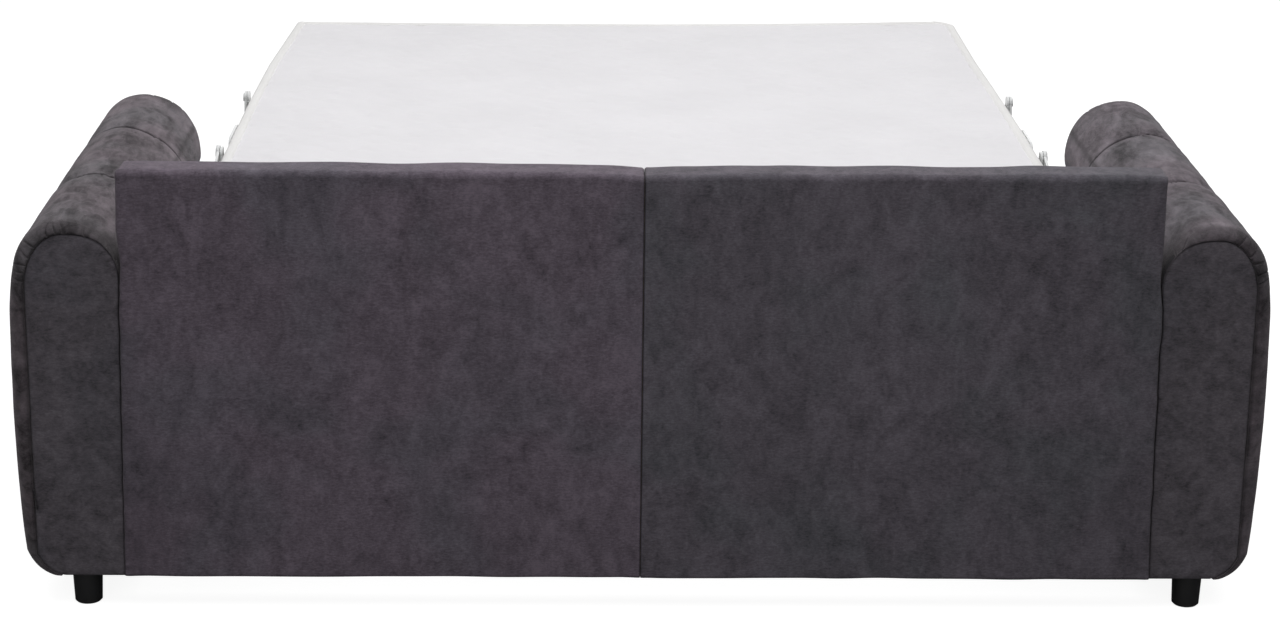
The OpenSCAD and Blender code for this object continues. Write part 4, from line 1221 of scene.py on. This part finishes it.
# Seat and back cushions: foam in boxed covers with a piped edge, strapped under the bed base. When
# the bed is turned over they are the seat and the backrest of the sofa.
sim_frames = 20
sim_voxel = 0.0065
sim_cap = 0.016
sewn_depth = 0.012
sewn_fade = 0.008
cloth_settings = {
    "quality": 4,
    "mass": 0.35,
    "tension_stiffness": 14,
    "compression_stiffness": 14,
    "shear_stiffness": 6,
    "bending_stiffness": 0.6,
    "use_pressure": True,
    "uniform_pressure_force": 4.0,
    "vertex_group_mass": "sewn",
    "shrink_min": -0.035,
}
blank_rings = 40
blank_sides = 96
blank_inset = 0.006
blank_hollow = 0.012
blank_plump = 1.4
blank_top = 0.985
blank_belly = 0.88
cushion_wave = 0.0011
cushion_fold = 0.0017
welt_radius = 0.0042
welt_rise = 0.034
welt_sunk = 0.35
welt_sides = 8
welt_steps = 360


def cushion_blank(low, high):
    """Points and faces of a plump closed form, flat above, a little smaller than its box."""
    rise = np.radians(np.linspace(-84, 84, blank_rings))
    around = circle(blank_sides)
    half = (high - low) / 2
    centre = (high + low) / 2
    run = (soft_power(np.sin(rise), 0.2) / soft_power(math.sin(rise[-1]), 0.2))[:, None]
    wide = (np.cos(rise) ** 0.1)[:, None]
    thick = (np.cos(rise) ** 0.3)[:, None]
    side = soft_power(np.cos(around), 0.22)[None]
    up = soft_power(np.sin(around), 0.3)[None]
    x = (half[0] - blank_inset) * run * (1 - blank_hollow * (1 - side**2) * np.abs(run))
    y = (half[1] - blank_inset) * wide * (1 - blank_hollow * (1 - run**2)) * side
    above, below = np.minimum(blank_top, blank_plump * thick * up), blank_belly * thick * up
    z = half[2] * np.where(up > 0, above, below)
    return points_from(x, y, z) + centre, tube_faces(blank_rings, blank_sides)


def plain_copy(source):
    """A new mesh object from how another looks with its modifiers, which is then removed."""
    shown_now = source.evaluated_get(bpy.context.evaluated_depsgraph_get())
    mesh = bpy.data.meshes.new_from_object(shown_now)
    made = bpy.data.objects.new(source.name, mesh)
    bpy.data.objects.remove(source)
    bpy.context.collection.objects.link(made)
    return made


def puff(source, low, high):
    """Blows a padded cover up with a short cloth simulation, kept inside its box."""
    remesh = source.modifiers.new("remesh", "REMESH")
    remesh.mode = "VOXEL"
    remesh.voxel_size = sim_voxel
    made = plain_copy(source)
    rest = coordinates(made.data)
    hold = made.vertex_groups.new(name="sewn")
    grip = ramp(rest[:, 2] - (high[2] - sewn_depth), sewn_fade)
    for index in np.nonzero(grip > 0.01)[0]:
        hold.add([int(index)], float(grip[index]), "REPLACE")
    cloth = made.modifiers.new("cloth", "CLOTH")
    for key, value in cloth_settings.items():
        setattr(cloth.settings, key, value)
    cloth.settings.effector_weights.gravity = 0
    for step in range(1, sim_frames + 1):
        bpy.context.scene.frame_set(step)
    settled = coordinates(made.evaluated_get(bpy.context.evaluated_depsgraph_get()).data)
    made.modifiers.remove(cloth)
    bpy.context.scene.frame_set(1)
    move = settled - rest
    far = np.linalg.norm(move, axis=1)[:, None]
    rest = rest + move * np.minimum(1, sim_cap / np.maximum(far, 1e-9))
    move_points(made.data, np.clip(rest, low + board_gap, high - board_gap))
    return made


def welt(surface, path, radius):
    """Points and faces of a piped cord that lies half sunk in a surface along a closed path."""
    tree = BVHTree.FromObject(surface, bpy.context.evaluated_depsgraph_get())
    found = np.array([tree.find_nearest(Vector(spot))[:2] for spot in path])
    normal = found[:, 1]
    centre = found[:, 0] + normal * radius * welt_sunk
    for _ in range(2):
        centre = (np.roll(centre, 1, 0) + 2 * centre + np.roll(centre, -1, 0)) / 4
    along = unit(np.roll(centre, -1, 0) - np.roll(centre, 1, 0))
    sideways = unit(np.cross(along, normal))
    up = np.cross(sideways, along)
    angle = circle(welt_sides)[None, :, None]
    turned = np.cos(angle) * sideways[:, None] + np.sin(angle) * up[:, None]
    ring = centre[:, None] + radius * turned
    ring = np.concatenate([ring, ring[:1]])
    return ring, grid_faces(len(ring), welt_sides, True)


def cushion(name, nodes, body, seed):
    """A pair of cushions from one simulation, the second mirrored, each with its piping."""
    low, high = (np.array(corner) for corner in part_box(nodes[0]))
    centre = (low + high) / 2
    half = (high - low) / 2
    points, faces = cushion_blank(low, high)
    made = puff(object_from(name, points, faces, [panel_shaded], None, 60), low, high)
    place = coordinates(made.data)
    exposed = ramp(high[2] - 0.01 - place[:, 2], 0.02)
    ripple = cushion_wave * soft_waves(place, 0.16, seed)
    ripple += cushion_fold * creases(place, 0.11, seed + 1, width=0.22)
    place = place - unit(place - centre) * (ripple * exposed)[:, None]
    move_points(made.data, np.clip(place, low + board_gap, high - board_gap))
    angle = circle(welt_steps)
    path = points_from(
        centre[0] + half[0] * 1.02 * soft_power(np.cos(angle), 0.3),
        centre[1] + half[1] * 1.02 * soft_power(np.sin(angle), 0.3),
        low[2] + welt_rise,
    )
    cord, cord_faces = welt(made, path, welt_radius)
    shape = coordinates(made.data)
    skin = [list(polygon.vertices) for polygon in made.data.polygons]
    for label, mirror, node, finish in (
        ("left", [1, 1, 1], nodes[0], panel_warm),
        ("right", [-1, 1, 1], nodes[1], panel_shaded),
    ):
        piece = object_from(f"{name}_{label}", shape * mirror, skin, [finish], None, 70)
        dress(piece, [node], body)
        piping = f"{name}_piping_{label}"
        piece = object_from(piping, cord * mirror, cord_faces, [finish], None, 60, 0.00005)
        dress(piece, [], body)
    bpy.data.objects.remove(made)


cushion("seat_cushion_cloth", ["seat_cushion_left", "seat_cushion_right"], "seat_section", 811)
cushion("back_cushion_cloth", ["back_cushion_left", "back_cushion_right"], "back_section", 822)

# Bed base and mechanism: welded tube frames with wire mesh in grey powder paint, side plates, links
# and some pins in pale paint, other pins and bolts zinc-plated, and folding legs with rubber tips.
wear, wear_in = new_group(
    "worn_metal",
    {
        "Coat": (0.2, 0.2, 0.2, 1),
        "Mark": (0.4, 0.4, 0.4, 1),
        "Grain Scale": 90.0,
        "Marks": 0.3,
        "Smooth": 0.35,
        "Rough": 0.55,
    },
)
wear_place = add_node(wear, "ShaderNodeTexCoord")["Object"]
blotches = noise(wear, wear_place, wear_in["Grain Scale"], 4.0, 0.6, 0.4)
flecks = noise(wear, wear_place, 900.0, 2.0, 0.5)
cloud = noise(wear, wear_place, 9.0, 3.0, 0.5)
marked = calculate(wear, "MULTIPLY", remap(wear, blotches, 0.52, 0.75), wear_in["Marks"])
toned = mix_colour(wear, marked, wear_in["Coat"], wear_in["Mark"])
close_group(
    wear,
    mix_colour(wear, 1.0, toned, remap(wear, cloud, 0.3, 0.7, 0.9, 1.08), "MULTIPLY"),
    remap(wear, blotches, 0.0, 1.0, wear_in["Smooth"], wear_in["Rough"]),
    calculate(wear, "ADD", calculate(wear, "MULTIPLY", blotches, 0.4), flecks),
)


def hard_finish(name, coat, mark, smooth, rough, grain, marks, depth, metallic=0.0, clear=0.0):
    """Painted or plated steel, plastic or rubber, from the worn surface group."""
    material, tree, shader = new_finish(
        name, Metallic=metallic, Coat_Weight=clear, Coat_Roughness=0.2
    )
    inputs = {
        "Coat": (*coat, 1),
        "Mark": (*mark, 1),
        "Grain Scale": grain,
        "Marks": marks,
        "Smooth": smooth,
        "Rough": rough,
    }
    finish_from(tree, shader, wear, inputs, depth, 0.6)
    return material


frame_paint = hard_finish(
    "frame_paint", (0.19, 0.195, 0.2), (0.3, 0.3, 0.3), 0.38, 0.55, 60.0, 0.25, 0.0002, clear=0.15
)
plate_paint = hard_finish(
    "plate_paint", (0.84, 0.85, 0.85), (0.7, 0.7, 0.69), 0.4, 0.6, 45.0, 0.35, 0.0001, clear=0.1
)
bright_zinc = hard_finish(
    "bright_zinc", (0.62, 0.62, 0.61), (0.75, 0.74, 0.7), 0.2, 0.38, 80.0, 0.5, 0.00008, 1.0
)
foot_plastic = hard_finish(
    "foot_plastic", (0.0095, 0.0095, 0.01), (0.016, 0.016, 0.016), 0.32, 0.5, 150.0, 0.4, 0.0001
)
tip_rubber = hard_finish(
    "tip_rubber", (0.018, 0.018, 0.018), (0.03, 0.03, 0.03), 0.7, 0.85, 200.0, 0.5, 0.0002
)


def repaint(names, material):
    """Gives carried-over CAD nodes their finish."""
    for name in names:
        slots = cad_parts[name].data.materials
        slots.clear()
        slots.append(material)


sides = ("left", "right")
plates = [f"{kind}_plate_{side}" for kind in ("side", "seat", "back", "foot") for side in sides]
plates += [f"control_link_{side}" for side in sides]
repaint(["seat_frame", "back_frame", "foot_frame", "leg_cross_tubes", "leg_lugs"], frame_paint)
repaint([*plates, "fold_pins", "link_back_pins"], plate_paint)
repaint(["side_plate_bolts", "main_pivot_pins", "link_root_pins", "seat_hinge_pins"], bright_zinc)
repaint(["leg_pins", "foot_studs", "inner_leg_frame", "outer_leg_frame"], bright_zinc)
repaint(["inner_leg_tips", "outer_leg_tips"], tip_rubber)
repaint([f"{end}_foot_{side}" for end in ("rear", "front") for side in sides], foot_plastic)

# Plywood: the arm formers and the boards inside the panel, the rail and the fascia, birch veneers
# glued crosswise, with the layers showing along their edges.
plywood, ply_tree, ply_shader = new_finish("plywood", Roughness=0.6)
ply_place = add_node(ply_tree, "ShaderNodeTexCoord")["Object"]
ply_stretched = scaled_by(ply_tree, ply_place, (3.0, 30.0, 30.0))
ply_grain = noise(ply_tree, ply_stretched, 2.4, 6.0, 0.6, 0.5)
ply_share = remap(ply_tree, ply_grain, 0.35, 0.65)
ply_tone = mix_colour(ply_tree, ply_share, (0.42, 0.29, 0.16, 1), (0.6, 0.45, 0.28, 1))
ply_tree.links.new(ply_tone, ply_shader.inputs["Base Color"])
raise_bump(ply_tree, ply_shader, ply_grain, 0.0004)
boards = ["rear_panel_board", "front_rail_board", "fascia_board"]
repaint([*(f"arm_frame_{side}" for side in sides), *boards], plywood)
